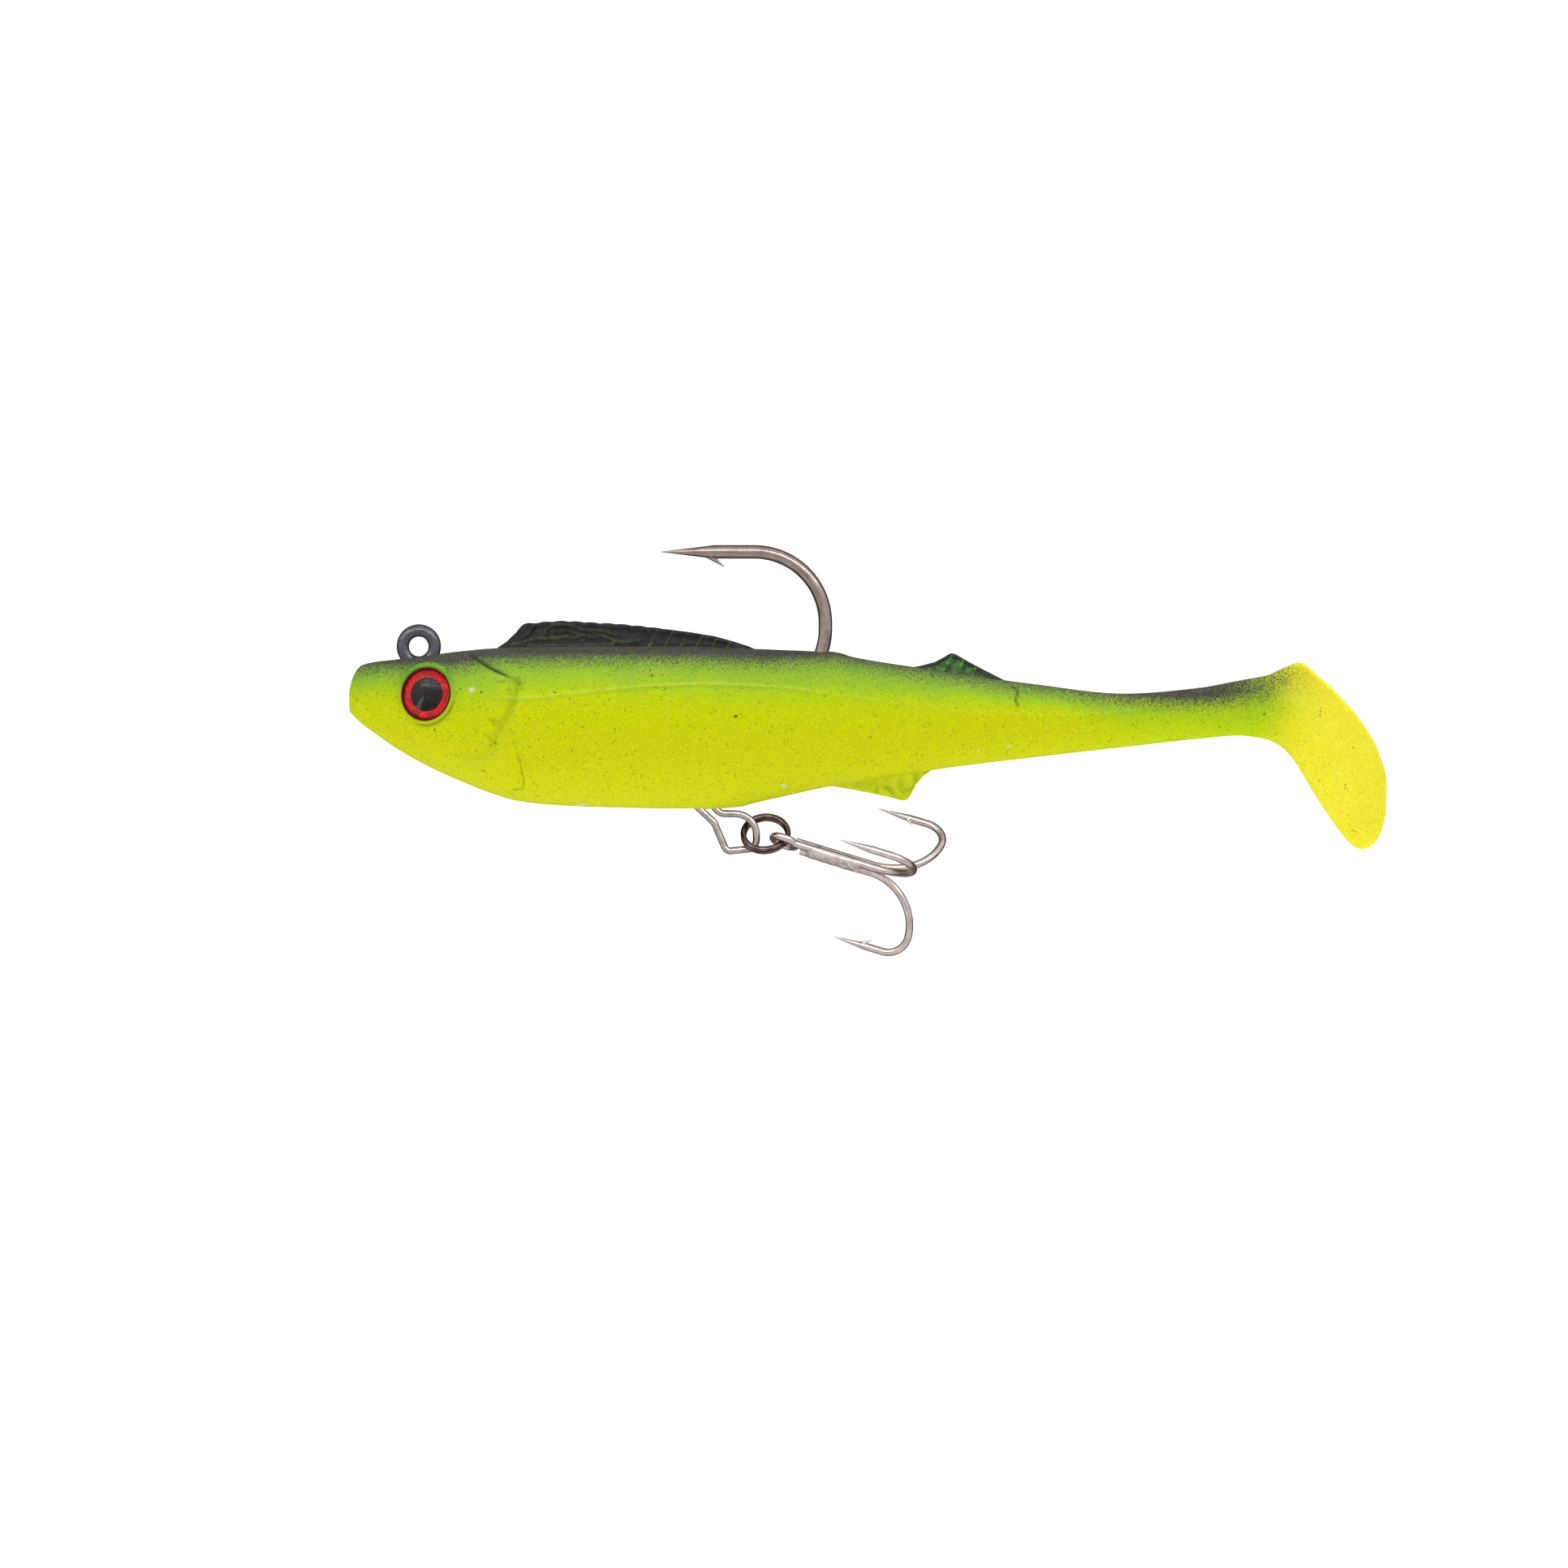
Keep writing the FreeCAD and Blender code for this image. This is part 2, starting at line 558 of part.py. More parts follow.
def build_eye(side_name, side):
    """Iris foil, pupil and clear domed lens, and the pocket they sit in."""
    frame = eye_frame(side)
    foil = disc(f"eye_foil_{side_name}", frame, "Sizes.eye_r", "Sizes.foil_t")
    pupil = disc(f"eye_pupil_{side_name}", frame, "Sizes.pupil_r", "Sizes.pupil_t", "Sizes.foil_t")
    blank = disc(f"lens_blank_{side_name}", frame, "Sizes.eye_r", "Sizes.lens_h", "Sizes.foil_t")
    ball = doc.addObject("Part::Sphere", f"lens_ball_{side_name}")
    bind(ball, Radius="Sizes.lens_dome_r")
    lift = "Sizes.foil_t + Sizes.lens_h - Sizes.lens_dome_r"
    bind(ball, Placement=f"{frame} * placement(vector(0; 0; {lift}); rotation(0; 0; 0))")
    dome = doc.addObject("Part::Common", f"lens_dome_{side_name}")
    dome.Base = blank
    dome.Tool = ball
    lens = doc.addObject("Part::Cut", f"eye_lens_{side_name}")
    lens.Base = dome
    lens.Tool = pupil
    pocket = disc(f"eye_pocket_{side_name}", frame, "Sizes.eye_r", "Sizes.eye_r")
    return foil, pupil, lens, pocket


# ---------------------------------------------------------- the soft casting

def tail_side(name, joint, extra):
    """Everything behind a flexing section, with the round front that turns in it."""
    block = doc.addObject("Part::Box", f"{name}_block")
    bind(block, Length="Sizes.cut_depth", Width="Sizes.cut_depth", Height="Sizes.cut_depth")
    bind(block, Placement=f"placement(vector(Sizes.{joint}_x; -Sizes.cut_depth / 2; -Sizes.cut_depth / 2);"
                          " rotation(0; 0; 0))")
    knuckle = doc.addObject("Part::Cylinder", f"{name}_knuckle")
    bind(knuckle, Radius=f"Sizes.{joint}_r + {extra}", Height="Sizes.cut_depth")
    bind(knuckle, Placement=f"placement(vector(Sizes.{joint}_x; 0; -Sizes.cut_depth / 2); rotation(0; 0; 0))")
    both = doc.addObject("Part::Fuse", name)
    both.Base = block
    both.Tool = knuckle
    return both


def keep_behind(name, shape, joint):
    common = doc.addObject("Part::Common", name)
    common.Base = shape
    common.Tool = tail_side(f"{name}_keep", joint, "0")
    return common


def cut_before(name, shape, joint):
    cut = doc.addObject("Part::Cut", name)
    cut.Base = shape
    cut.Tool = tail_side(f"{name}_socket", joint, "Sizes.flex_gap")
    return cut


def build_fins():
    fins = []
    for name, (_, corners) in FINS.items():
        body = new_body(name)
        aliases = [(f"Sizes.{name}_x{i}_", f"Sizes.{name}_z{i}_") for i in range(len(corners))]
        plate(body, name, corners, aliases, f"Sizes.{name}_t")
        fins.append(body)
    return fins


def build_front(form, inserts):
    """Head and belly with the fins, hollowed for everything moulded into them."""
    front = cut_before("front_form", form, "rear_flex")
    finned = doc.addObject("Part::MultiFuse", "finned_front")
    finned.Shapes = [front] + build_fins()
    casting = finned
    for insert in inserts:
        name = "soft_body_front" if insert is inserts[-1] else f"moulded_over_{insert.Name}"
        hollow = doc.addObject("Part::Cut", name)
        hollow.Base = casting
        hollow.Tool = insert
        casting = hollow
    return casting


def build_segment(name, form, front_joint, rear_joint):
    segment = keep_behind(f"{name}_form", form, front_joint)
    return cut_before(name, segment, rear_joint)


def bell_section(station):
    """Closed curve across the paddle: round instep, hollow flare, flat sole."""
    instep = FreeCAD.Vector(size(f"paddle_{station}_instep_x"), 0, size(f"paddle_{station}_instep_z"))
    sole = FreeCAD.Vector(size(f"paddle_{station}_sole_x"), 0, size(f"paddle_{station}_sole_z"))
    half_width = size(f"paddle_{station}_hw")
    depth = (sole - instep).Length
    across = (sole - instep) / depth
    web = min(size("web_t"), 1.2 * half_width)
    rim = size("rim_t")
    side = []
    for degrees in (30, 60, 90):
        angle = math.radians(degrees)
        side.append((web * math.sin(angle), web * (1 - math.cos(angle))))
    for step in (0.25, 0.5, 0.75, 0.9, 1.0):
        reach = web + (depth - rim - web) * step
        side.append((web + (half_width - web) * step ** size("flare"), reach))
    side.append((half_width * 0.97, depth - rim * 0.35))
    side.append((half_width * 0.6, depth))
    half = [(0, 0)] + side + [(0, depth)]
    edges = []
    for mirror in (1, -1):
        curve = Part.BSplineCurve()
        points = [instep + across * reach + FreeCAD.Vector(0, mirror * y, 0) for y, reach in half]
        curve.interpolate(Points=points[::mirror])
        edges.append(curve.toShape())
    return Part.Wire(edges)


def build_paddle(form):
    boot = doc.addObject("Part::Feature", "paddle_boot")
    boot.Shape = Part.makeLoft([bell_section(name) for name, *_ in PADDLE], True, True)
    ankle = keep_behind("ankle_form", form, "paddle_flex")
    paddle = doc.addObject("Part::MultiFuse", "tail_paddle")
    paddle.Shapes = [ankle, boot]
    return paddle


# --------------------------------------------------------------- everything

def build_model():
    """Every sub-part, keyed by the name of its node."""
    hook = build_jig_hook()
    hanger = build_belly_hanger()
    lead = ellipse_loft("ballast_casting", "ballast", BALLAST)
    ballast = build_ballast(lead, hook, hanger)
    double_hook = build_treble_double()
    single_hook = build_treble_single()
    parts = [hook, hanger, ballast, build_split_ring(), double_hook, single_hook,
             build_treble_braze(double_hook, single_hook)]
    pockets = []
    for side_name, side in (("left", -1), ("right", 1)):
        foil, pupil, lens, pocket = build_eye(side_name, side)
        parts += [foil, pupil, lens]
        pockets.append(pocket)
    form = ellipse_loft("fish_form", "form", FORM)
    parts.append(build_front(form, [lead, hook, hanger] + pockets))
    parts.append(build_segment("soft_body_rear", form, "rear_flex", "stem_flex"))
    parts.append(build_segment("tail_stem", form, "stem_flex", "paddle_flex"))
    parts.append(build_paddle(form))
    return parts


def check(parts):
    for obj in doc.Objects:
        if "Invalid" in obj.State or "Error" in obj.State:
            raise RuntimeError(f"{obj.Name} did not recompute: {obj.State}")
    for part in parts:
        if part.Shape.isNull() or not part.Shape.isValid():
            raise RuntimeError(f"{part.Name} has no valid shape")


def export(parts):
    os.makedirs("parts", exist_ok=True)
    for part in parts:
        part.Label = part.Name
        part.Shape.exportStep(f"parts/{part.Label}.step")
        print(part.Label, len(part.Shape.Solids), "solid(s)", round(part.Shape.Volume, 2), "mm3")


model = build_model()
doc.recompute()
check(model)
export(model)
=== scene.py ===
import math

import bpy
import numpy as np
from mathutils import Euler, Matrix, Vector


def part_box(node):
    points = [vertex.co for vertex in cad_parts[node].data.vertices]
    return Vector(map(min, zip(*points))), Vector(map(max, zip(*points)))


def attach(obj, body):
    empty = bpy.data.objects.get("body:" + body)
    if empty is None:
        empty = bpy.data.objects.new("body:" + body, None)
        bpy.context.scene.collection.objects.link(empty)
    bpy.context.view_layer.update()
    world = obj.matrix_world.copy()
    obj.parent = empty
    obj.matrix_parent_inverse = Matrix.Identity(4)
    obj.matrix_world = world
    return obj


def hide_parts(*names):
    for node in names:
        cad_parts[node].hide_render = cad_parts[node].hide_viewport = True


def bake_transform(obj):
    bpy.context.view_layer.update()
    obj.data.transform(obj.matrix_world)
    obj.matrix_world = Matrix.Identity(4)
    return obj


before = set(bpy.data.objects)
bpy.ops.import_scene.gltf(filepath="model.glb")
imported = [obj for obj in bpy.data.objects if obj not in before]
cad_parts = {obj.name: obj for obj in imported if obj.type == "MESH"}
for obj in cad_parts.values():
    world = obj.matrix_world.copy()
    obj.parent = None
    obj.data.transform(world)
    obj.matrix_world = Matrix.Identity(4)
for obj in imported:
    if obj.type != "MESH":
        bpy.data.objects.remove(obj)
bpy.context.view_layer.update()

MM = 0.001


# -------------------- driving shapes
# All in millimetres in the row frame: +X towards the tail, -Y towards the viewer, +Z up.

# The casting's form at the CAD's stations, with four more at the throat, at the chest, where the belly turns
# up and where the hook leaves the back: x, height of the back, height of the belly, half width.
FORM = [
    (-8.55, -5.35, -7.95, 1.2),  # nose
    (-8.1, -3.7, -8.5, 1.8),  # lip
    (-7.0, -2.3, -9.55, 2.35),  # snout
    (-5.4, -1.9, -10.75, 2.8),  # cheek
    (-2.8, -1.6, -12.55, 3.65),  # brow
    (1.0, -1.1, -14.7, 5.2),  # eyes
    (5.5, -0.55, -16.75, 6.35),  # jaw
    (8.8, -0.25, -18.05, 6.7),  # throat
    (12.0, -0.1, -19.0, 6.95),  # gill
    (16.0, -0.05, -19.5, 7.1),  # chest
    (22.0, 0.0, -19.8, 7.15),  # shoulder
    (33.0, 0.0, -20.0, 6.85),  # belly
    (39.0, -0.2, -19.7, 6.5),  # belly turns up
    (44.0, -0.4, -18.7, 6.15),  # under the hook's bend
    (51.0, -0.75, -17.2, 5.5),  # hook leaves the back
    (54.0, -1.4, -16.8, 5.15),  # waist
    (65.0, -3.1, -15.0, 4.0),  # flank
    (76.0, -4.65, -13.65, 3.2),  # rear
    (87.0, -5.8, -12.4, 2.45),  # stem
    (96.0, -5.1, -11.4, 1.95),  # wrist
    (101.0, -4.2, -11.0, 1.75),  # ankle
]
NOSE = FORM[0][0]
ANKLE = FORM[-1][0]
BACK_LINE = [(x, back) for x, back, _, _ in FORM]
BELLY_LINE = [(x, belly) for x, _, belly, _ in FORM]
# Paddle: sole x, sole z, instep x, instep z, half width, share of the flared bell section.
PADDLE = [
    (104.6, -3.5, 104.2, -11.4, 1.7, 0.1),
    (106.8, -2.5, 106.4, -12.5, 1.9, 0.35),
    (108.5, -1.95, 107.8, -14.05, 2.7, 0.7),
    (110.8, -3.65, 108.8, -15.6, 4.4, 1.0),
    (113.5, -6.25, 109.7, -17.15, 6.1, 1.0),
    (116.25, -9.6, 110.7, -18.8, 7.2, 1.0),
    (118.15, -13.1, 111.9, -20.6, 7.4, 1.0),
    (119.1, -16.9, 113.3, -22.6, 6.7, 1.0),
    (119.1, -19.8, 114.3, -23.85, 5.4, 1.0),
    (118.75, -22.0, 115.0, -24.5, 3.9, 1.0),
    (118.2, -23.6, 115.55, -24.85, 2.7, 1.0),
    (117.5, -24.45, 116.0, -24.98, 1.5, 1.0),
    (117.0, -24.8, 116.4, -25.02, 0.6, 1.0),
]
LATERAL_LINE = [
    (-8.55, -6.0), (0.0, -6.3), (8.6, -6.4), (13.6, -6.35), (16.4, -6.1), (28.8, -4.85), (35.0, -4.65),
    (43.3, -4.95), (53.4, -6.25), (66.6, -7.85), (79.8, -8.45), (88.6, -7.85), (93.0, -7.35), (101.0, -6.6),
]
GILL_CREASE = [(6.3, -0.95), (8.6, -2.35), (10.5, -3.35), (12.1, -4.15), (12.6, -4.55)]
GILL_EDGE = [
    (12.6, -4.55), (12.45, -5.9), (11.9, -7.6), (10.85, -9.7), (10.0, -11.3), (9.1, -12.95), (7.7, -14.1),
    (5.6, -13.9),
]
CHEEK_LINE = [(11.3, -4.75), (11.35, -8.4)]
GILL_RAYS = [
    [(8.8, -9.05), (10.2, -9.3)], [(9.3, -9.6), (10.35, -9.75)], [(8.6, -11.05), (9.6, -11.9)],
    [(9.9, -4.5), (11.2, -4.25), (12.5, -4.7)],
]
PECTORAL_LINE = [
    (11.7, -10.25), (12.2, -12.85), (12.76, -15.05), (13.07, -16.95), (12.9, -17.55), (11.7, -17.7),
]
SCUFF_LINE = [(73.1, -5.0), (73.6, -5.1), (73.75, -5.9), (73.5, -6.6), (73.7, -7.3)]

# How much thinner the dark overspray is than at mid body, as millimetres of lost depth.
SPRAY_LOSS = [
    (-8.5, 1.25), (-4.6, 0.75), (0.0, 0.2), (4.4, -0.3), (8.4, 0.0), (18.0, 0.0), (42.0, 0.0), (48.0, 0.45),
    (54.0, 0.9), (60.0, 1.05), (66.0, 1.15), (78.0, 1.2), (84.0, 1.05), (88.5, 0.7), (93.4, 0.1),
    (98.4, -0.35), (102.4, -0.8), (108.0, -1.2),
]
# The share of the overspray that is left on the way to the paddle.
SPRAY_DOSE = [
    (98.0, 1.0), (101.0, 0.86), (103.5, 0.66), (105.4, 0.5), (107.4, 0.26), (109.4, 0.1), (113.0, 0.0),
]
# How deep the green shoulders reach, as a share of their depth at mid body.
GREEN_REACH = [
    (-8.5, 0.62), (0.0, 0.85), (5.0, 1.1), (18.0, 1.0), (36.0, 1.08), (48.0, 1.0), (60.0, 0.78), (72.0, 0.54),
    (80.0, 0.48), (88.0, 0.6), (93.0, 0.66), (98.0, 0.8), (102.5, 0.98), (106.0, 1.05),
]

EYE_YAW = math.radians(22)
EYE_PITCH = math.radians(6)
EYE_RADIUS = 3.3
PUPIL_RADIUS = 2.1
FOIL_THICK = 0.3
DOME_HEIGHT = 1.25

FIRST_CUT = 83.25
SECOND_CUT = 94.75


# -------------------- small tools

def smooth_curve(points, x):
    """The second column of points as a smooth function of the first, with no overshoot."""
    table = np.asarray(points, float)
    xs, ys = table[:, 0], table[:, 1]
    step = np.diff(xs)
    slope = np.diff(ys) / step
    tangent = np.concatenate(([slope[0]], np.zeros(len(xs) - 2), [slope[-1]]))
    same_way = slope[:-1] * slope[1:] > 0
    w1 = 2 * step[1:] + step[:-1]
    w2 = step[1:] + 2 * step[:-1]
    safe = np.where(same_way, slope[:-1] * slope[1:], 1)
    harmonic = (w1 + w2) * safe / (w1 * slope[1:] + w2 * slope[:-1] + np.where(same_way, 0, 1e9))
    tangent[1:-1] = np.where(same_way, harmonic, 0)
    x = np.clip(x, xs[0], xs[-1])
    i = np.clip(np.searchsorted(xs, x, side="right") - 1, 0, len(step) - 1)
    u = (x - xs[i]) / step[i]
    return (
        ys[i] * (1 + 2 * u) * (1 - u) ** 2 + tangent[i] * step[i] * u * (1 - u) ** 2
        + ys[i + 1] * u * u * (3 - 2 * u) + tangent[i + 1] * step[i] * u * u * (u - 1)
    )


def ramp(x, low, high):
    """0 below low, 1 above high, smooth between."""
    u = np.clip((x - low) / (high - low), 0, 1)
    return u * u * (3 - 2 * u)


def bump(distance, width):
    """1 on a line, falling to 0 beside it."""
    return np.exp(-(distance / width) ** 2)


def line_distance(x, z, line):
    """Distance from each point to an open line, and on which side of it: positive is to the line's left."""
    best = np.full(x.shape, 1e9)
    side = np.zeros(x.shape)
    for (ax, az), (bx, bz) in zip(line[:-1], line[1:]):
        dx, dz = bx - ax, bz - az
        length = math.hypot(dx, dz)
        along = np.clip(((x - ax) * dx + (z - az) * dz) / length ** 2, 0, 1)
        away = np.hypot(x - ax - along * dx, z - az - along * dz)
        left = np.sign(dx * (z - az) - dz * (x - ax))
        side = np.where(away < best, left, side)
        best = np.minimum(best, away)
    return best, side * best


def along_line(x, z, line, width):
    """1 on an open line, falling to 0 beside it."""
    return bump(line_distance(x, z, line)[0], width)


def new_piece(name, points, faces, material):
    """A smooth-shaded mesh object from points in millimetres."""
    mesh = bpy.data.meshes.new(name)
    mesh.from_pydata((np.asarray(points) * MM).tolist(), [], faces)
    mesh.polygons.foreach_set("use_smooth", [True] * len(mesh.polygons))
    mesh.materials.append(material)
    piece = bpy.data.objects.new(name, mesh)
    bpy.context.scene.collection.objects.link(piece)
    return piece


def store(piece, name, values):
    """Keeps one number or one vector per vertex for the material to read."""
    values = np.asarray(values, np.float32)
    vector = values.ndim == 2
    attribute = piece.data.attributes.new(name, "FLOAT_VECTOR" if vector else "FLOAT", "POINT")
    attribute.data.foreach_set("vector" if vector else "value", values.ravel())


def sharpen_ends(piece, rings, around):
    """Marks the edges of a tube's two end rings, so that a flat end doesn't bend the shading."""
    on_rim = np.zeros(len(piece.data.vertices), bool)
    on_rim[:around] = True
    on_rim[(rings - 1) * around:rings * around] = True
    ends = np.zeros(len(piece.data.edges) * 2, int)
    piece.data.edges.foreach_get("vertices", ends)
    ends = ends.reshape(-1, 2)
    sharp = on_rim[ends[:, 0]] & on_rim[ends[:, 1]]
    piece.data.edges.foreach_set("use_edge_sharp", sharp.tolist())


def closed_tube(name, points, material, ends=None, mirrored=False):
    """A closed tube from rings of points, with a fan over each end."""
    rings, around = points.shape[:2]
    count = rings * around
    last = count - around
    if ends is None:
        ends = [points[0].mean(0), points[-1].mean(0)]
    turned = [(j + 1) % around for j in range(around)]
    faces = []
    for a in range(0, last, around):
        b = a + around
        faces += [(a + j, a + k, b + k, b + j) for j, k in enumerate(turned)]
    faces += [(k, j, count) for j, k in enumerate(turned)]
    faces += [(last + j, last + k, count + 1) for j, k in enumerate(turned)]
    if mirrored:
        faces = [tuple(reversed(face)) for face in faces]
    return new_piece(name, np.concatenate((points.reshape(-1, 3), ends)), faces, material)


# -------------------- material tools

class Graph:
    """The node tree of a material or of the world, with a short way to add and join nodes."""

    def __init__(self, name, world=False):
        self.material = bpy.data.worlds.new(name) if world else bpy.data.materials.new(name)
        self.material.use_nodes = True
        self.tree = self.material.node_tree
        self.shader = self.tree.nodes["Background" if world else "Principled BSDF"]

    def add(self, kind, inputs=None, **settings):
        node = self.tree.nodes.new("ShaderNode" + kind)
        for key, value in settings.items():
            setattr(node, key, value)
        for key, value in (inputs or {}).items():
            self.set(node.inputs[key], value)
        return node

    def set(self, socket, value):
        if isinstance(value, bpy.types.NodeSocket):
            self.tree.links.new(value, socket)
        else:
            socket.default_value = value

    def finish(self, **values):
        for name, value in values.items():
            self.set(self.shader.inputs[name.replace("_", " ")], value)
        return self.material

    def attribute(self, name, output="Fac"):
        return self.add("Attribute", attribute_name=name).outputs[output]

    def object_mm(self):
        """Object coordinates in millimetres: the row frame, as the pieces sit at its origin."""
        place = self.add("TexCoord").outputs["Object"]
        return self.add("VectorMath", {0: place, 3: 1 / MM}, operation="SCALE").outputs[0]

    def noise(self, vector, scale, detail=2.0, rough=0.5):
        inputs = {"Vector": vector, "Scale": scale, "Detail": detail, "Roughness": rough}
        return self.add("TexNoise", inputs).outputs["Fac"]

    def cells(self, vector, scale):
        """Three even random numbers for each small droplet-shaped cell."""
        cell = self.add("TexVoronoi", {"Vector": vector, "Scale": scale}).outputs["Color"]
        return self.add("SeparateColor", {0: cell}).outputs

    def math(self, operation, a, b=0.0):
        return self.add("Math", {0: a, 1: b}, operation=operation).outputs[0]

    def times(self, a, b):
        return self.math("MULTIPLY", a, b)

    def vector_math(self, operation, a, b):
        return self.add("VectorMath", {0: a, 1: b}, operation=operation).outputs[0]

    def map(self, value, low, high, out_low=0.0, out_high=1.0, kind="LINEAR"):
        inputs = {"Value": value, "From Min": low, "From Max": high, "To Min": out_low, "To Max": out_high}
        return self.add("MapRange", inputs, interpolation_type=kind).outputs[0]

    def mix(self, share, a, b, kind="MIX"):
        node = self.add("Mix", data_type="RGBA", blend_type=kind)
        for key, value in ((0, share), (6, a), (7, b)):
            self.set(node.inputs[key], value)
        return node.outputs[2]

    def either(self, share, shader, other):
        """Ends the tree in a mix of two shaders."""
        mix = self.add("MixShader", {0: share, 1: shader.outputs[0], 2: other.outputs[0]})
        self.set(self.tree.nodes["Material Output"].inputs["Surface"], mix.outputs[0])
        return self.material

    def colours(self, value, stops):
        node = self.add("ValToRGB", {"Fac": value})
        elements = node.color_ramp.elements
        while len(elements) < len(stops):
            elements.new(0.5)
        for element, (place, colour) in zip(elements, stops):
            element.position = place
            element.color = colour
        return node.outputs["Color"]

    def bumps(self, height, distance):
        inputs = {"Height": height, "Distance": distance * MM, "Strength": 1.0}
        return self.add("Bump", inputs).outputs["Normal"]

    def near(self, vector, centre, radius):
        """1 inside a small soft-edged spot, 0 outside it."""
        distance = self.add("VectorMath", {0: vector, 1: centre}, operation="DISTANCE")
        return self.map(distance.outputs["Value"], radius * 1.35, radius * 0.65)


def rgb(red, green, blue):
    """A display colour, 0 to 255, as the linear colour that a shader takes."""
    linear = []
    for value in (red, green, blue):
        c = value / 255
        linear.append(c / 12.92 if c <= 0.04045 else ((c + 0.055) / 1.055) ** 2.4)
    return (*linear, 1.0)


# -------------------- the fish's surface

def station_rows():
    """Sole and instep point, half width and bell share along the fish, keyed by the distance along it."""
    rows = [(x, x, back, x, belly, width, 0.0) for x, back, belly, width in FORM]
    along, back, belly, _ = FORM[-1]
    middle = [along, (back + belly) / 2]
    for ux, uz, lx, lz, width, bell in PADDLE:
        here = [(ux + lx) / 2, (uz + lz) / 2]
        along += math.dist(middle, here)
        middle = here
        rows.append((along, ux, uz, lx, lz, width, bell))
    return np.array(rows)


def stations(end):
    """Distances along the fish, close together at the head and over the eyes."""
    cuts = [NOSE, -8.2, -2.6, 5.2, 14.0, FIRST_CUT, SECOND_CUT, end]
    pitches = [0.07, 0.15, 0.11, 0.14, 0.25, 0.25, 0.25]
    spans = []
    for start, stop, pitch in zip(cuts[:-1], cuts[1:], pitches):
        count = max(1, round((stop - start) / pitch))
        spans.append(np.linspace(start, stop, count, endpoint=False))
    return np.concatenate(spans + [[end]])


ABOVE_LINE = 38
BELOW_LINE = 78
SECTION_POWER = 2.15
WEB = 1.25
SOLE_RIM = 0.7
FLARE_POWER = 2.3


def half_section(depth, width, bell):
    """Reach below the back and half thickness there, from the back to the belly."""
    a = np.linspace(0, 1, 260)
    reach = depth * (1 - np.cos(math.pi * a)) / 2
    body = width * np.clip(1 - np.abs(2 * reach / depth - 1) ** SECTION_POWER, 0, 1) ** (1 / SECTION_POWER)
    web = min(WEB, 0.8 * width, 0.45 * depth)
    rim = min(SOLE_RIM, 0.3 * depth)
    flare = web + (width - web) * (1 - reach / depth) ** FLARE_POWER
    sole = (1 - (1 - np.clip(reach / rim, 0, 1)) ** 3) ** (1 / 3)
    instep = np.sqrt(1 - (1 - np.clip((depth - reach) / web, 0, 1)) ** 2)
    return reach, (1 - bell) * body + bell * flare * sole * instep


def fish_surface():
    """Rings of points round the whole fish, with the reach of each point below the back."""
    rows = station_rows()
    along = stations(rows[-1, 0])
    ux, uz, lx, lz, width, bell = (smooth_curve(rows[:, [0, k]], along) for k in range(1, 7))
    lateral = smooth_curve(LATERAL_LINE, along)
    around = 2 * (ABOVE_LINE + BELOW_LINE)
    points = np.zeros((len(along), around, 3))
    reaches = np.zeros((len(along), around))
    line_gaps = np.zeros((len(along), around))
    anchor = 0.3
    for i in range(len(along)):
        depth = math.hypot(ux[i] - lx[i], uz[i] - lz[i])
        reach, out = half_section(depth, width[i], bell[i])
        arc = np.concatenate(([0], np.cumsum(np.hypot(np.diff(reach), np.diff(out)))))
        if along[i] <= LATERAL_LINE[-1][0]:
            anchor = float(np.interp(uz[i] - lateral[i], reach, arc)) / arc[-1]
        upper = np.linspace(0, anchor, ABOVE_LINE, endpoint=False)
        lower = np.linspace(anchor, 1, BELOW_LINE + 1)
        share = np.concatenate((upper, lower)) * arc[-1]
        r = np.interp(share, arc, reach)
        y = np.interp(share, arc, out)
        r = np.concatenate((r, r[-2:0:-1]))
        y = np.concatenate((-y, y[-2:0:-1]))
        gap = np.concatenate((share, share[-2:0:-1])) - anchor * arc[-1]
        points[i, :, 0] = ux[i] + (lx[i] - ux[i]) * r / depth
        points[i, :, 1] = y
        points[i, :, 2] = uz[i] + (lz[i] - uz[i]) * r / depth
        reaches[i] = r
        line_gaps[i] = gap
    return along, points, reaches, line_gaps


def surface_normals(points):
    """Outward unit normals of a closed-ring grid."""
    lengthwise = np.gradient(points, axis=0)
    crosswise = np.roll(points, -1, axis=1) - np.roll(points, 1, axis=1)
    normals = np.cross(crosswise, lengthwise)
    size = np.linalg.norm(normals, axis=2, keepdims=True)
    return normals / np.maximum(size, 1e-9)


def moulded_detail(x, z, line_gap):
    """Height of the moulded lines over the plain body, in millimetres."""
    height = np.zeros(x.shape)
    lateral_fade = ramp(x, 8.2, 10.5) * (1 - ramp(x, 88, 94))
    lateral_fade *= 1 - 0.5 * ramp(x, 42, 56)
    height += 0.09 * bump(line_gap, 0.17) * lateral_fade
    height -= 0.05 * bump(line_gap - 0.45, 0.3) * lateral_fade
    crease, above = line_distance(x, z, GILL_CREASE)
    crease_deep = 1 - 0.6 * ramp(x, 10.8, 12.4)
    height -= 0.3 * crease_deep * np.where(above > 0, bump(crease, 0.1), bump(crease, 0.35))
    edge, behind = line_distance(x, z, GILL_EDGE)
    height -= 0.26 * np.where(behind > 0, bump(edge, 0.45), bump(edge, 0.32))
    height += 0.1 * bump(edge - 1.0, 0.7)
    grooves = [(CHEEK_LINE, 0.05, 0.2), (PECTORAL_LINE, 0.07, 0.14), (SCUFF_LINE, 0.08, 0.25)]
    grooves += [(ray, 0.11, 0.2) for ray in GILL_RAYS]
    for line, deep, width in grooves:
        height -= deep * along_line(x, z, line, width)
    return height


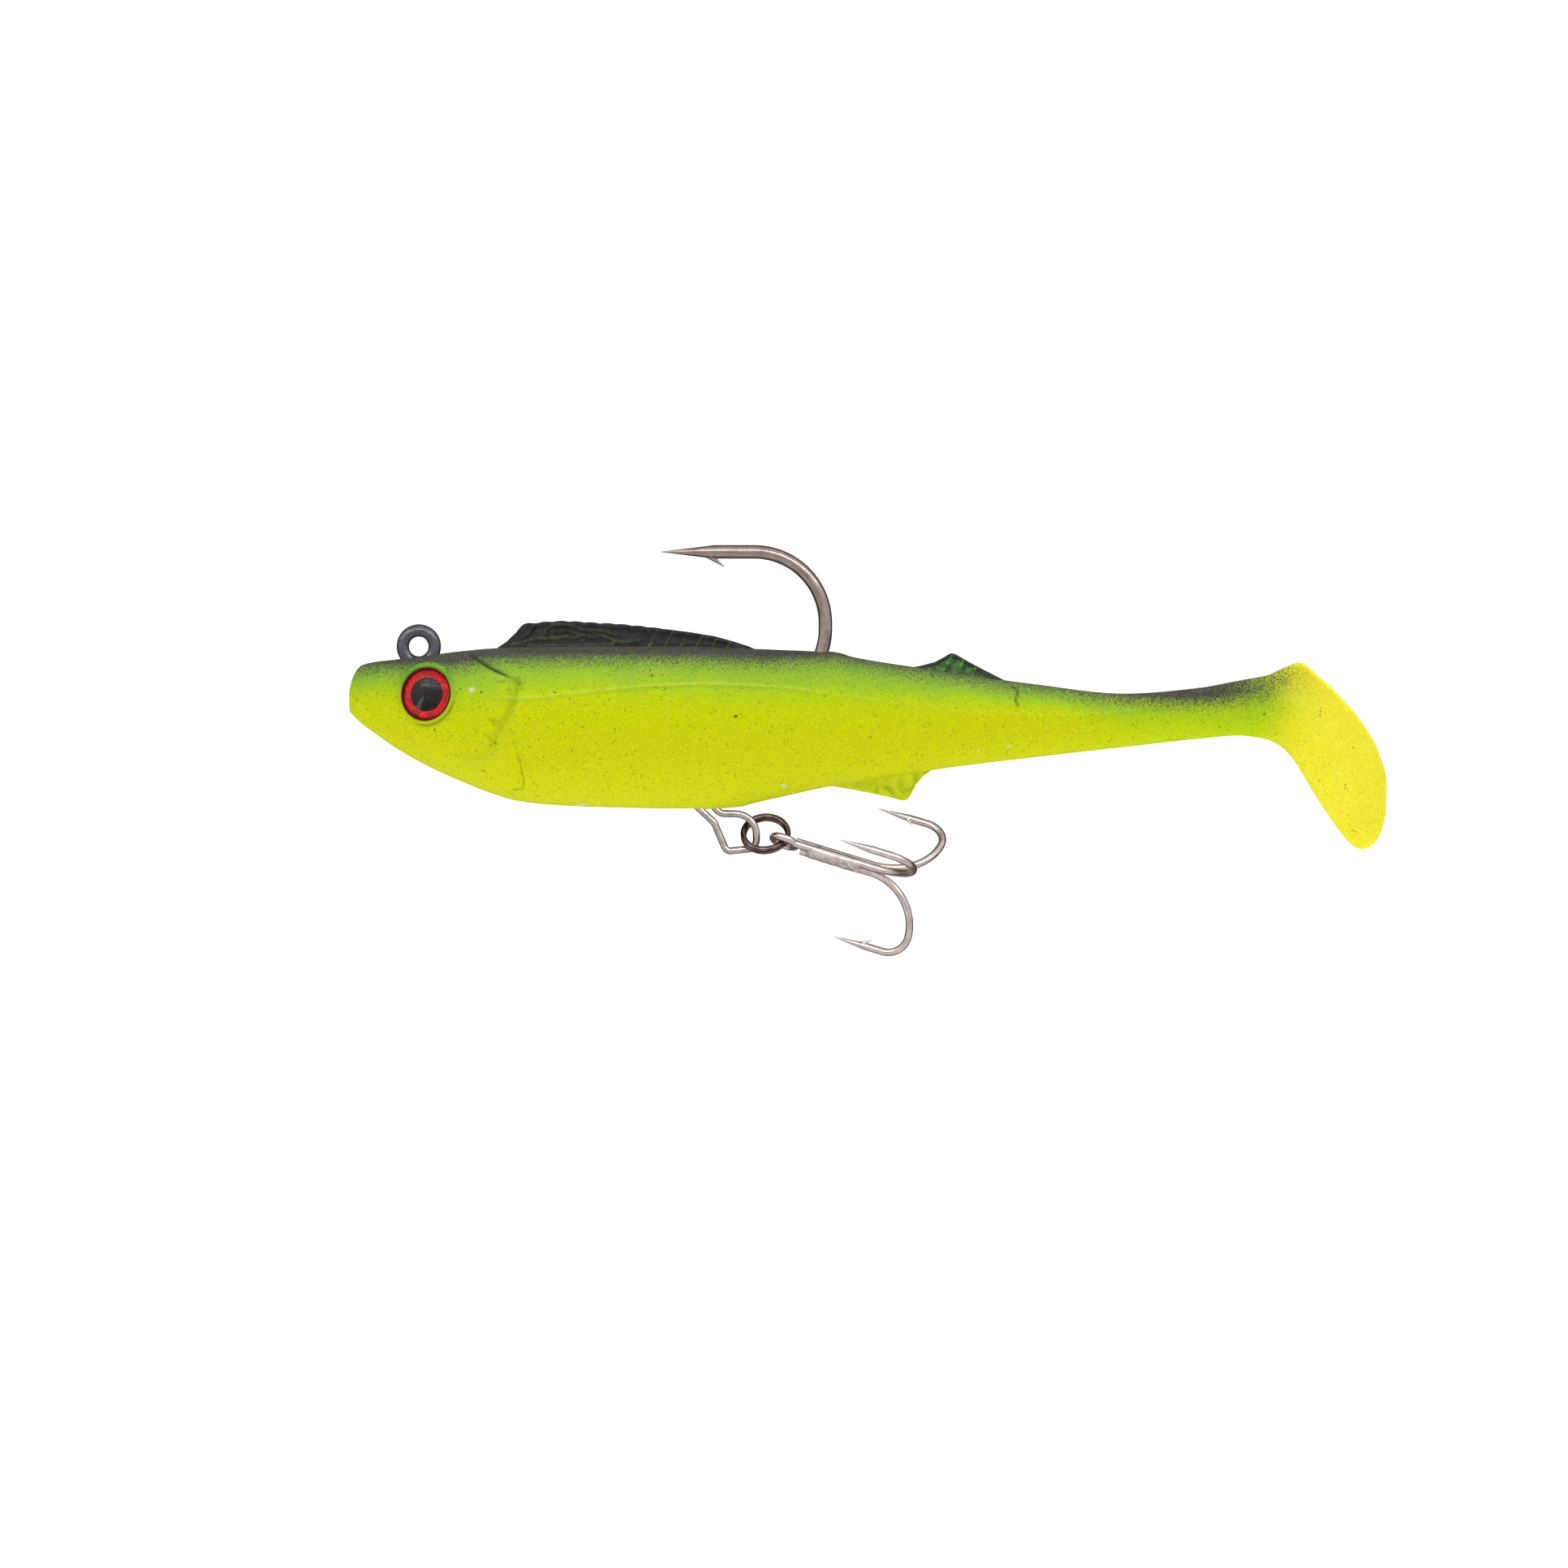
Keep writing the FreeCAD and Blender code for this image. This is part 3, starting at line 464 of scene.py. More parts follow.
def paint_and_shade_in_lines(x, z, y):
    """How dark the moulded lines are, 0 to 1: dark paint gathered in the gill crease with a painted shadow
    below it, painted shade in front of the gill cover's edge, darker gill rays, pectoral and cheek lines, and
    a real scuff.
    """
    crease, above = line_distance(x, z, GILL_CREASE)
    strength = ramp(x, 6.0, 7.8) * (1 - 0.65 * ramp(x, 10.4, 11.6))
    # Below the crease the dark spreads wider: a painted shadow under its overhang.
    shadow_spread = 0.12 + 0.22 * bump(x - 9.3, 1.3)
    line_paint_and_shade = 0.95 * strength * np.where(above > 0, bump(crease, 0.09), bump(crease, shadow_spread))
    _, behind = line_distance(x, z, GILL_EDGE)
    # Painted shade on the gill cover just in front of its edge.
    line_paint_and_shade = np.maximum(line_paint_and_shade, 0.2 * bump(behind + 0.45, 0.4) * (1 - 0.5 * ramp(-z, 10, 13)))
    for ray in GILL_RAYS:
        line_paint_and_shade = np.maximum(line_paint_and_shade, 0.3 * along_line(x, z, ray, 0.16))
    line_paint_and_shade = np.maximum(line_paint_and_shade, 0.42 * along_line(x, z, PECTORAL_LINE, 0.1) * ramp(-z, 10, 15))
    line_paint_and_shade = np.maximum(line_paint_and_shade, 0.16 * along_line(x, z, CHEEK_LINE, 0.25))
    return np.maximum(line_paint_and_shade, 0.8 * along_line(x, z, SCUFF_LINE, 0.16) * (y < 0))


def eye_axes(side):
    """Outward axis and the two axes of the eye's disc; side is -1 for the left eye."""
    out = Vector((
        -math.sin(EYE_YAW) * math.cos(EYE_PITCH),
        side * math.cos(EYE_YAW) * math.cos(EYE_PITCH),
        math.sin(EYE_PITCH),
    ))
    forward = Vector((0, 0, 1)).cross(out).normalized()
    return np.array(out), np.array(forward), np.array(out.cross(forward))


def eye_centre(side):
    """The middle of the foil's back, in millimetres."""
    low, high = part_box("eye_foil_left" if side < 0 else "eye_foil_right")
    out = eye_axes(side)[0]
    return np.array((low + high) / 2) / MM - out * FOIL_THICK / 2


def sink_socket(points, side):
    """Bends the skin round one eye into a socket with a soft lip, in place. Gives each point's distance to
    the eye's middle, its share of the lip's lower rear, and how far up round the eye it is."""
    out, forward, up = eye_axes(side)
    local = points - eye_centre(side)
    a, b, height = local @ forward, local @ up, local @ out
    facing = (points[..., 1] * side > 0) & (np.abs(height) < 4)
    radius = np.where(facing, np.hypot(a, b), 99.0)
    seat = EYE_RADIUS + 0.03
    grid = 0.085
    rearward = a * (1 if forward[0] > 0 else -1)
    lower_rear = ramp((0.5 * rearward - 0.87 * b) / np.maximum(radius, 0.1), 0.45, 0.95)
    blend = 1 - ramp(radius, seat, seat + 1.5)
    target = 0.5 + (0.05 + 0.12 * lower_rear) * bump(radius - seat - 0.2, 0.2)
    target -= 0.2 * lower_rear * bump(radius - seat - 0.6, 0.18)
    lifted = height * (1 - blend) + target * blend
    inside = radius < seat - grid
    lifted = np.where(inside, -0.7, lifted)
    near_edge = np.abs(radius - seat) <= grid
    pull = np.where(near_edge, seat / np.maximum(radius, 0.1), 1.0)
    touched = radius < seat + 1.6
    moved = (
        eye_centre(side) + (a * pull)[..., None] * forward + (b * pull)[..., None] * up
        + lifted[..., None] * out
    )
    points[touched] = moved[touched]
    return radius, lower_rear, b / np.maximum(radius, 0.1)


# Where wires leave the casting, and how high the soft rise round each is: x, z, rise.
WIRE_EXITS = [(51.2, -0.8, 0.1), (36.3, -19.9, 0.12), (39.0, -19.7, 0.12)]


def spray_cover(along, x, depth, halo, eye_top):
    """The share of the skin under the dark overspray, which stays off the green ring over each eye."""
    cover = 1 - ramp(depth + smooth_curve(SPRAY_LOSS, along)[:, None], 0.75, 3.7) ** 0.6
    cover *= smooth_curve(SPRAY_DOSE, x)
    cover *= 1 - 0.9 * ramp(halo * eye_top, 0.2, 0.6)
    return np.clip(cover, 0, 1)


def raised_detail(x, y, z, line_gap):
    """Height of all the relief over the plain fish, in millimetres."""
    height = np.where(x < ANKLE + 1, moulded_detail(x, z, line_gap), 0)
    for exit_x, exit_z, rise in WIRE_EXITS:
        distance = np.sqrt((x - exit_x) ** 2 + y ** 2 + (z - exit_z) ** 2)
        height += rise * bump(np.maximum(distance - 0.9, 0), 0.6)
    return height


def sink_sockets(points):
    """Sinks both sockets, and gives for each point what sink_socket gives for the nearer eye."""
    eye_gap, lip_share, eye_top = (np.full(points.shape[:2], far) for far in (99.0, 0.0, 0.0))
    for side in (-1, 1):
        gap, share, top = sink_socket(points, side)
        lip_share = np.where(gap < eye_gap, share, lip_share)
        eye_top = np.where(gap < eye_gap, top, eye_top)
        eye_gap = np.minimum(eye_gap, gap)
    return eye_gap, lip_share, eye_top


def fish_fields():
    """The sculpted surface and the numbers its paint reads."""
    along, points, reach, line_gap = fish_surface()
    x, y, z = (points[..., k].copy() for k in range(3))
    on_body = x < ANKLE + 1
    points += surface_normals(points) * raised_detail(x, y, z, line_gap)[..., None]
    eye_gap, lip_share, eye_top = sink_sockets(points)
    nose_drop = np.where(x < -7, -2.3 - z, 0)
    depth = np.maximum(reach, nose_drop)
    halo = bump(np.maximum(eye_gap - EYE_RADIUS, 0), 0.7) * (0.25 + 0.75 * ramp(eye_top, 0.0, 0.8))
    # Dark in the moulded lines, and the painted shadow under each eye's lip.
    line_paint_and_shade = np.where(on_body, paint_and_shade_in_lines(x, z, y), 0) + 0.6 * lip_shadow(eye_gap, lip_share)
    fields = {
        "rest_mm": points.copy(),
        "spray": spray_cover(along, x, depth, halo, eye_top),
        "tone": np.clip(depth / smooth_curve(GREEN_REACH, along)[:, None] / 12, 0, 1),
        "halo": np.clip(halo, 0, 1),
        "tail": ramp(x + 0.3 * np.abs(z + 8.0), 103.0, 112.5),
        "line_paint_and_shade": np.clip(line_paint_and_shade, 0, 1),
        "pale_line_and_highlight": lateral_line_and_gill_highlight(x, z, line_gap) * on_body,
        "stem_green": ramp(x, 76, 94) * (1 - ramp(x, 103, 108)),
    }
    return along, points, fields


def lateral_line_and_gill_highlight(x, z, line_gap):
    """The pale lateral line, and a painted highlight along the edge behind the gill cover."""
    lateral = bump(line_gap, 0.13) * ramp(x, 8.6, 12) * (1 - ramp(x, 82, 92))
    lateral *= 1 - 0.7 * ramp(x, 42, 56)
    _, behind = line_distance(x, z, GILL_EDGE)
    gill_edge_highlight = 0.4 * bump(behind - 0.38, 0.28) * ramp(-z, 5.5, 7.5)
    return np.maximum(lateral, gill_edge_highlight)


def lip_shadow(eye_gap, lip_share):
    """The painted shadow under an eye's lip, 0 to 1."""
    return bump(eye_gap - EYE_RADIUS - 0.55, 0.14) * lip_share


def skin_piece(name, along, points, fields, start, stop, material):
    """One closed stretch of the fish, from one station to another."""
    first = int(np.argmin(np.abs(along - start)))
    last = int(np.argmin(np.abs(along - stop)))
    part = points[first:last + 1]
    piece = closed_tube(name, part, material)
    sharpen_ends(piece, *part.shape[:2])
    for key, values in fields.items():
        cut = values[first:last + 1]
        ends = [cut[0].mean(0), cut[-1].mean(0)]
        flat = cut.reshape(-1, 3) if cut.ndim == 3 else cut.ravel()
        store(piece, key, np.concatenate((flat, ends)))
    return piece


# -------------------- soft materials

# Flecks and pin marks on the left side: x, z, radius, colour.
DARK = rgb(46, 54, 28)
PALE = rgb(206, 206, 176)
TINT = rgb(168, 146, 14)
FLECKS = [
    (6.65, -5.35, 0.32, PALE), (7.86, -5.68, 0.18, DARK), (5.3, -5.25, 0.11, DARK), (2.1, -10.3, 0.11, DARK),
    (9.6, -12.0, 0.13, DARK), (8.1, -7.65, 0.1, PALE), (13.8, -12.45, 0.11, DARK),
    (39.1, -8.65, 0.21, rgb(24, 26, 20)), (28.5, -3.0, 0.15, DARK), (28.8, -3.6, 0.17, DARK),
    (30.0, -3.6, 0.11, DARK), (16.9, -5.7, 0.13, DARK), (24.2, -10.2, 0.13, DARK), (20.4, -19.45, 0.3, PALE),
    (19.7, -19.45, 0.24, PALE), (44.9, -17.05, 0.24, PALE), (45.1, -17.3, 0.2, PALE),
    (72.6, -12.35, 0.2, PALE), (69.0, -12.9, 0.16, PALE), (104.1, -8.35, 0.17, rgb(40, 60, 34)),
    (98.6, -9.9, 0.11, DARK), (111.0, -7.6, 0.11, TINT), (110.95, -8.0, 0.13, TINT),
    (110.95, -8.4, 0.14, TINT), (111.0, -8.8, 0.1, TINT),
    (114.95, -12.5, 0.15, TINT), (110.9, -16.5, 0.12, TINT), (114.1, -17.1, 0.11, TINT),
    (114.15, -17.5, 0.14, TINT), (114.45, -17.8, 0.1, TINT), (115.0, -22.6, 0.11, TINT),
    (115.3, -22.8, 0.09, TINT), (114.4, -20.8, 0.08, TINT), (116.1, -21.7, 0.08, TINT),
]


def on_left_flank(points, x, z):
    """The place on the left skin that a side view shows at x, z."""
    skin = points.reshape(-1, 3)
    skin = skin[skin[:, 1] < 0]
    nearest = np.argmin(np.hypot(skin[:, 0] - x, skin[:, 2] - z))
    return (x, float(skin[nearest, 1]), z)


def casting_colour(g, place, drops):
    """The colours under the overspray: green shoulders, a chartreuse flank and a clear yellow paddle."""
    tone = g.math("ADD", g.attribute("tone"), g.map(drops[1], 0.0, 1.0, -0.03, 0.03))
    tone = g.math("ADD", tone, g.map(g.noise(place, 0.22, 3.0), 0.3, 0.7, -0.03, 0.03))
    flank = g.colours(tone, [
        (0.0, rgb(116, 164, 50)), (0.12, rgb(124, 170, 52)), (0.22, rgb(134, 177, 52)),
        (0.32, rgb(150, 189, 46)), (0.42, rgb(172, 203, 30)), (0.52, rgb(190, 210, 12)),
        (0.66, rgb(204, 214, 0)), (1.0, rgb(205, 211, 0)),
    ])
    flank = g.mix(g.times(g.attribute("stem_green"), 0.5), flank, rgb(176, 212, 8))
    paddle = g.colours(g.noise(place, 0.35, 2.0), [(0.3, rgb(246, 234, 46)), (0.7, rgb(249, 239, 62))])
    base = g.mix(g.attribute("tail"), flank, paddle)
    base = g.mix(g.times(g.attribute("halo"), 0.85), base, rgb(84, 150, 40))
    # Pale lateral line, and a painted highlight behind the gill cover's edge.
    return g.mix(g.times(g.attribute("pale_line_and_highlight"), 0.35), base, rgb(226, 234, 100))


def grain(g, place, base, drops, mist):
    """Uneven spray grain: light and dark cells, then small specks, gold flakes and a few larger blots."""
    shade = g.map(mist[0], 0.0, 1.0, 0.9, 1.07)
    shade = g.add("CombineColor", {0: shade, 1: shade, 2: shade}).outputs[0]
    base = g.mix(1.0, base, shade, "MULTIPLY")
    blots = g.cells(place, 4.0)
    plain = g.map(g.attribute("tail"), 0.0, 1.0, 1.0, 0.3)
    for shown, strength, colour in (
        (g.map(mist[1], 0.9, 0.94), 0.42, rgb(120, 128, 20)),
        (g.map(drops[2], 0.86, 0.95), 0.3, rgb(226, 196, 20)),
        (g.math("GREATER_THAN", blots[0], 0.975), 0.4, rgb(110, 122, 24)),
    ):
        share = g.times(g.times(shown, plain), strength)
        base = g.mix(share, base, colour)
    return base


def flecked(g, place, colour, points):
    """The flecks of the left side, each with a ragged outline."""
    noise = g.add("TexNoise", {"Vector": place, "Scale": 3.5, "Detail": 3.0}).outputs["Color"]
    ragged = g.vector_math("SUBTRACT", noise, (0.5, 0.5, 0.5))
    ragged = g.vector_math("MULTIPLY", ragged, (0.5, 0.5, 0.5))
    wandering = g.vector_math("ADD", place, ragged)
    for x, z, radius, fleck in FLECKS:
        spot = g.near(wandering, on_left_flank(points, x, z), radius * 1.1)
        colour = g.mix(g.times(spot, 0.8), colour, fleck)
    return colour


def soft_pvc(points):
    """Sprayed soft PVC: the casting's colours and grain, a dark speckled back, dark paint with painted shade
    and shadow in the moulded lines, flecks.
    """
    g = Graph("sprayed_pvc")
    place = g.attribute("rest_mm", "Vector")
    drops = g.cells(place, 7.5)
    mist = g.cells(place, 11.0)
    base = grain(g, place, casting_colour(g, place, drops), drops, mist)
    threshold = g.math("FRACT", g.math("ADD", drops[0], mist[2]))
    spray = g.map(g.math("SUBTRACT", g.attribute("spray"), threshold), -0.12, 0.12)
    dark = g.colours(g.noise(place, 1.3, 2.0), [(0.35, rgb(62, 58, 54)), (0.65, rgb(72, 67, 66))])
    colour = g.mix(spray, base, dark)
    # Dark olive in the moulded lines: partly paint, partly painted shade and shadow.
    colour = g.mix(g.attribute("line_paint_and_shade"), colour, rgb(44, 52, 30))
    orange_peel = g.noise(place, 2.2, 4.0, 0.6)
    return g.finish(
        Base_Color=flecked(g, place, colour, points),
        Roughness=g.map(orange_peel, 0.3, 0.7, 0.4, 0.5),
        Normal=g.bumps(orange_peel, 0.035),
        Specular_IOR_Level=0.07,
    )


def fin_paint(name, dark, light, ray_and_shade_colour):
    """Thin sprayed fin: dark overspray, with a second colour on the fin's ray mask: the casting's colour worn
    through along the rays, and on the anal fin a darker olive for painted shade in the rib grooves and at the
    root.
    """
    g = Graph(name)
    place = g.object_mm()
    fine = g.noise(place, 5.0, 2.0)
    patch = g.noise(place, 1.1, 3.0)
    base = g.colours(patch, [(0.35, dark), (0.65, light)])
    patchy = g.map(g.noise(place, 1.7, 3.0, 0.65), 0.38, 0.62, 0.15, 1.15)
    # The ray mask carries the worn-through rays and, on some fins, painted shade; the second colour goes
    # where it is high.
    ray_and_shade_marks = g.times(g.attribute("ray"), patchy)
    ray_and_shade_marks = g.times(ray_and_shade_marks, g.map(fine, 0.35, 0.6, 0.5, 1.0))
    colour = g.mix(ray_and_shade_marks, base, ray_and_shade_colour)
    return g.finish(
        Base_Color=colour,
        Roughness=g.map(fine, 0.3, 0.7, 0.38, 0.52),
        Normal=g.bumps(g.noise(place, 2.8, 4.0), 0.04),
        Specular_IOR_Level=0.2,
    )


# -------------------- fins

def fin(name, edge_line, foot, relief, ray_and_shade_marks, material, tip=0.22, root=0.5, pitch=0.1, rows=26):
    """A closed upright blade from inside the body to its edge line, with relief on both faces."""
    xs = np.array([x for x, _ in edge_line])
    count = int((xs[-1] - xs[0]) / pitch)
    x = np.linspace(xs[0], xs[-1], count)
    edge = relief.get("edge", lambda x: 0 * x)(x) + np.interp(x, xs, [z for _, z in edge_line])
    start = foot(x)
    v = 1 - (1 - np.linspace(0, 1, rows)) ** 1.4
    z = start[:, None] + (edge - start)[:, None] * v[None, :]
    across = np.repeat(x[:, None], rows, 1)
    border, _ = line_distance(across, z, [(a, b) for a, b in zip(x[::3], edge[::3])])
    border[:, -1] = 0
    inward = np.clip(border / tip, 0, 1)
    thick = tip * np.sqrt(1 - (1 - inward) ** 2) + (root - tip) * ramp(border, tip, 3.2)
    stand = np.abs(z - start[:, None])
    thick += 0.7 * np.exp(-np.maximum(stand - 0.6, 0) / 0.3) * inward
    thick = np.maximum(thick + relief["height"](across, z, border) * inward, 0.02 * (v < 1)[None, :])
    thick[:, -1] = 0
    left = np.stack((across, -thick, z), 2)
    right = np.stack((across, thick, z), 2)[:, -2::-1]
    points = np.concatenate((left, right), 1)
    shown = ray_and_shade_marks(across, z, border)
    shown = np.concatenate((shown, shown[:, -2::-1]), 1)
    piece = closed_tube(name, points, material)
    # The ray mask: rays and worn paint, and on the anal and second dorsal fins painted shade.
    store(piece, "ray", np.concatenate((shown.ravel(), [0, 0])))
    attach(piece, "front_body")
    return piece


DORSAL_EDGE = [
    (8.9, -1.0), (9.75, -0.1), (10.75, 0.56), (11.5, 1.28), (12.0, 1.75), (12.5, 2.42), (12.95, 2.78),
    (13.5, 2.92), (14.1, 2.86), (15.4, 3.02), (17.6, 3.14), (19.84, 3.05), (22.0, 2.9), (24.5, 2.78),
    (27.6, 2.48), (30.0, 2.2), (33.5, 1.76), (36.5, 1.26), (38.7, 0.66), (40.6, 0.05), (42.3, -0.7),
]
CRUMPLES = [
    [(11.5, 0.15), (14.2, 0.95), (16.1, 0.95), (18.1, 1.2), (19.2, 1.0), (20.0, 1.4), (21.6, 1.05),
     (22.4, 1.43), (24.1, 0.65), (25.6, 0.5), (27.2, 0.7)],
    [(13.6, 0.15), (16.1, 0.2), (19.1, 0.12), (21.4, 0.25), (24.0, 0.3)],
    [(15.5, 1.4), (15.7, 2.1), (16.5, 2.55), (17.6, 2.65), (19.2, 2.4), (20.3, 1.95), (22.3, 1.95),
     (24.4, 1.35)],
    [(12.7, 0.9), (13.6, 1.6), (14.3, 2.6)],
    [(16.9, 1.7), (18.3, 1.9), (19.6, 1.55)],
]


CRUMPLE_SHARES = (0.6, 0.3, 0.22, 0.1, 0.22)


def dorsal_fin(material):
    """The crumpled dorsal fin: scalloped edge, wandering creases in front and straight rays behind."""
    first_ray, ray_gap, ray_count = 26.2, 1.96, 8

    def scallops(x):
        wave = np.abs(np.sin((x - 12.6) * math.pi / 1.95))
        return (0.1 * wave - 0.05) * ramp(x, 13.5, 15) * (1 - ramp(x, 27, 34))

    def ray_line(k):
        x = first_ray + ray_gap * k
        return [(x, -0.2), (x + 0.95, 1.35), (x + 1.35, 2.2)]

    def height(x, z, border):
        frame_edge = ramp(border, 0.45, 0.75) * ramp(x, 12.6, 14.2)
        level = -0.16 * frame_edge
        for line in CRUMPLES:
            gap, side = line_distance(x, z, line)
            level += 0.2 * bump(gap, 0.16) - 0.12 * bump(side + 0.32, 0.16)
        for k in range(ray_count):
            gap, side = line_distance(x, z, ray_line(k))
            level += (0.15 * bump(gap, 0.13) - 0.1 * bump(side - 0.4, 0.3)) * ramp(border, 0.15, 0.6)
        wrinkle = np.sin(x * 5.3 + 2.2 * np.sin(z * 4.1)) * np.sin(z * 6.7 + 1.3 * np.sin(x * 2.9))
        return level + 0.04 * wrinkle * (1 - ramp(x, 24, 28))

    def ray_and_shade_marks(x, z, border):
        shown = np.zeros(x.shape)
        for share, line in zip(CRUMPLE_SHARES, CRUMPLES):
            shown = np.maximum(shown, share * along_line(x, z, line, 0.17))
        for k in range(1, ray_count):
            low = 1 - ramp(z, 0.2, 1.5 - 0.06 * k)
            shown = np.maximum(shown, (0.25 + 0.5 * low) * along_line(x, z, ray_line(k), 0.11))
        return shown

    return fin(
        "dorsal_fin", DORSAL_EDGE, lambda x: smooth_curve(BACK_LINE, x) - 0.8,
        {"edge": scallops, "height": height}, ray_and_shade_marks, material,
    )


SECOND_DORSAL_EDGE = [
    (58.9, -2.95), (60.4, -2.6), (61.7, -2.4), (63.6, -1.9), (64.8, -1.25), (65.4, -0.88), (65.7, -0.82),
    (66.2, -0.97), (67.9, -1.95), (69.9, -3.0), (71.8, -3.97), (72.8, -4.5),
]
ANAL_EDGE = [
    (48.5, -16.9), (50.6, -17.2), (54.0, -17.75), (57.6, -18.5), (59.6, -19.0), (60.1, -18.95),
    (60.55, -18.4), (61.3, -17.0), (62.2, -15.95), (63.6, -15.0),
]
SECOND_RAYS = [[(64.6, -2.95), (65.7, -1.2)], [(66.5, -3.2), (67.05, -1.8)], [(68.2, -3.5), (68.6, -2.7)]]


def second_dorsal_fin(material):
    def panel(x, z, border):
        return ramp(border, 0.35, 0.6) * ramp(x, 61.5, 63.2) * (1 - ramp(x, 68.9, 70.0))

    def height(x, z, border):
        level = -0.14 * panel(x, z, border)
        for line in SECOND_RAYS:
            level += 0.16 * along_line(x, z, line, 0.13)
        return level

    def ray_and_shade_marks(x, z, border):
        shown = 0.5 * panel(x, z, border)
        for line in SECOND_RAYS:
            gap, side = line_distance(x, z, line)
            # Green along each ray; a strip just to one side of it is taken back to the dark paint as painted
            # shade.
            shown = np.maximum(shown, bump(gap, 0.13)) - 0.35 * bump(side + 0.3, 0.12) * (gap < 0.6)
        return np.clip(shown, 0, 1)

    return fin(
        "second_dorsal_fin", SECOND_DORSAL_EDGE, lambda x: smooth_curve(BACK_LINE, x) - 0.8,
        {"height": height}, ray_and_shade_marks, material, root=0.42,
    )


def anal_fin(material):
    def fan(x, z):
        return np.sin(2 * math.pi * (x + 0.55 * z + 0.35 * np.sin(1.7 * z)) / 1.75)

    def height(x, z, border):
        return 0.06 * fan(x, z) * ramp(x, 53, 56) * ramp(border, 0.15, 0.6)

    def ray_and_shade_marks(x, z, border):
        # Painted shade: darker olive in the grooves between the ribs and along the root; the rear edge's
        # green tint is the fin's own colour.
        rib_groove_shade = (0.5 - 0.5 * fan(x, z)) * ramp(x, 51, 57)
        root_shade = 0.5 * bump(z - (-16.6 - 0.12 * (x - 50)), 0.5) * ramp(x, 50, 53)
        rear_edge = 0.6 * bump(border, 0.5) * ramp(x, 59.8, 60.6)
        return np.clip(0.65 * rib_groove_shade + root_shade + rear_edge, 0, 1)

    return fin(
        "anal_fin", ANAL_EDGE, lambda x: smooth_curve(BELLY_LINE, x) + 1.2,
        {"height": height}, ray_and_shade_marks, material, root=0.45,
    )


# -------------------- eyes

def round_piece(name, side, rings, material, segments=96):
    """A closed round piece on the eye's axis from (radius, height, wobble) rings, the two ends at a point."""
    out, forward, up = eye_axes(side)
    centre = eye_centre(side)
    angle = np.arange(segments) * 2 * math.pi / segments
    points = []
    for radius, height, wobble in rings[1:-1]:
        level = height + wobble(angle) if callable(wobble) else np.full(segments, height + wobble)
        points.append(
            centre + np.outer(radius * np.cos(angle), forward) + np.outer(radius * np.sin(angle), up)
            + np.outer(level, out)
        )
    ends = [centre + rings[0][1] * out, centre + rings[-1][1] * out]
    return closed_tube(name, np.array(points), material, ends, mirrored=side > 0)


def pupil_material():
    """Glossy black pupil with painted reflections and shade on its facets, set by the turn round the eye's
    middle, and a little dust.
    """
    g = Graph("pupil_gloss")
    turn = g.add("SeparateXYZ", {0: g.attribute("around", "Vector")}).outputs["Y"]
    # Painted light on the facets: darker and lighter sectors round the middle, with one pale wedge of painted
    # reflection.
    facet_painted_light = g.colours(turn, [
        (0.0, rgb(20, 18, 20)), (0.12, rgb(34, 32, 34)), (0.16, rgb(88, 86, 90)), (0.21, rgb(22, 20, 22)),
        (0.5, rgb(14, 12, 14)), (0.62, rgb(30, 28, 30)), (0.66, rgb(14, 12, 14)), (0.9, rgb(36, 33, 34)),
    ])
    grime = g.noise(g.object_mm(), 3.0, 3.0)
    dust = g.map(g.noise(g.object_mm(), 5.5, 2.0), 0.68, 0.74)
    return g.finish(
        Base_Color=g.mix(g.times(dust, 0.35), facet_painted_light, rgb(150, 145, 150)),
        Roughness=g.map(grime, 0.3, 0.7, 0.3, 0.5),
        Specular_IOR_Level=0.1,
    )


def foil_material():
    """Red iris foil with streaks round the eye's middle, cloudy patches and a dark rim."""
    g = Graph("iris_red_foil")
    split = g.add("SeparateXYZ", {0: g.attribute("around", "Vector")}).outputs
    streaks = g.add("CombineXYZ", {"X": g.times(split["Y"], 14.0), "Y": split["X"]})
    streak = g.noise(streaks.outputs[0], 3.0, 4.0, 0.65)
    cloud = g.noise(g.object_mm(), 0.55, 2.0)
    red = g.colours(streak, [(0.3, rgb(196, 14, 20)), (0.52, rgb(246, 28, 28)), (0.72, rgb(252, 84, 74))])
    red = g.mix(g.map(cloud, 0.52, 0.64, 0.0, 0.6), red, rgb(130, 30, 50))
    rim = g.map(split["X"], EYE_RADIUS - 0.36, EYE_RADIUS - 0.22)
    return g.finish(
        Base_Color=g.mix(rim, red, rgb(96, 14, 18)),
        Metallic=0.1,
        Roughness=g.map(streak, 0.3, 0.7, 0.4, 0.55),
        Specular_IOR_Level=0.15,
        Normal=g.bumps(streak, 0.03),
    )


def lens_material():
    """Clear resin: see-through, with a gloss that grows at grazing angles."""
    g = Graph("clear_resin")
    clear = g.add("BsdfTransparent", {"Color": (1.0, 0.985, 0.975, 1.0)})
    scratches = g.noise(g.vector_math("MULTIPLY", g.object_mm(), (1.0, 1.0, 3.0)), 4.0, 3.0)
    gloss = g.add("BsdfGlossy", {
        "Color": (1, 1, 1, 1), "Roughness": g.map(scratches, 0.3, 0.7, 0.06, 0.14),
    })
    facing = g.add("Fresnel", {"IOR": 1.2}).outputs[0]
    g.tree.nodes.remove(g.shader)
    return g.either(facing, clear, gloss)


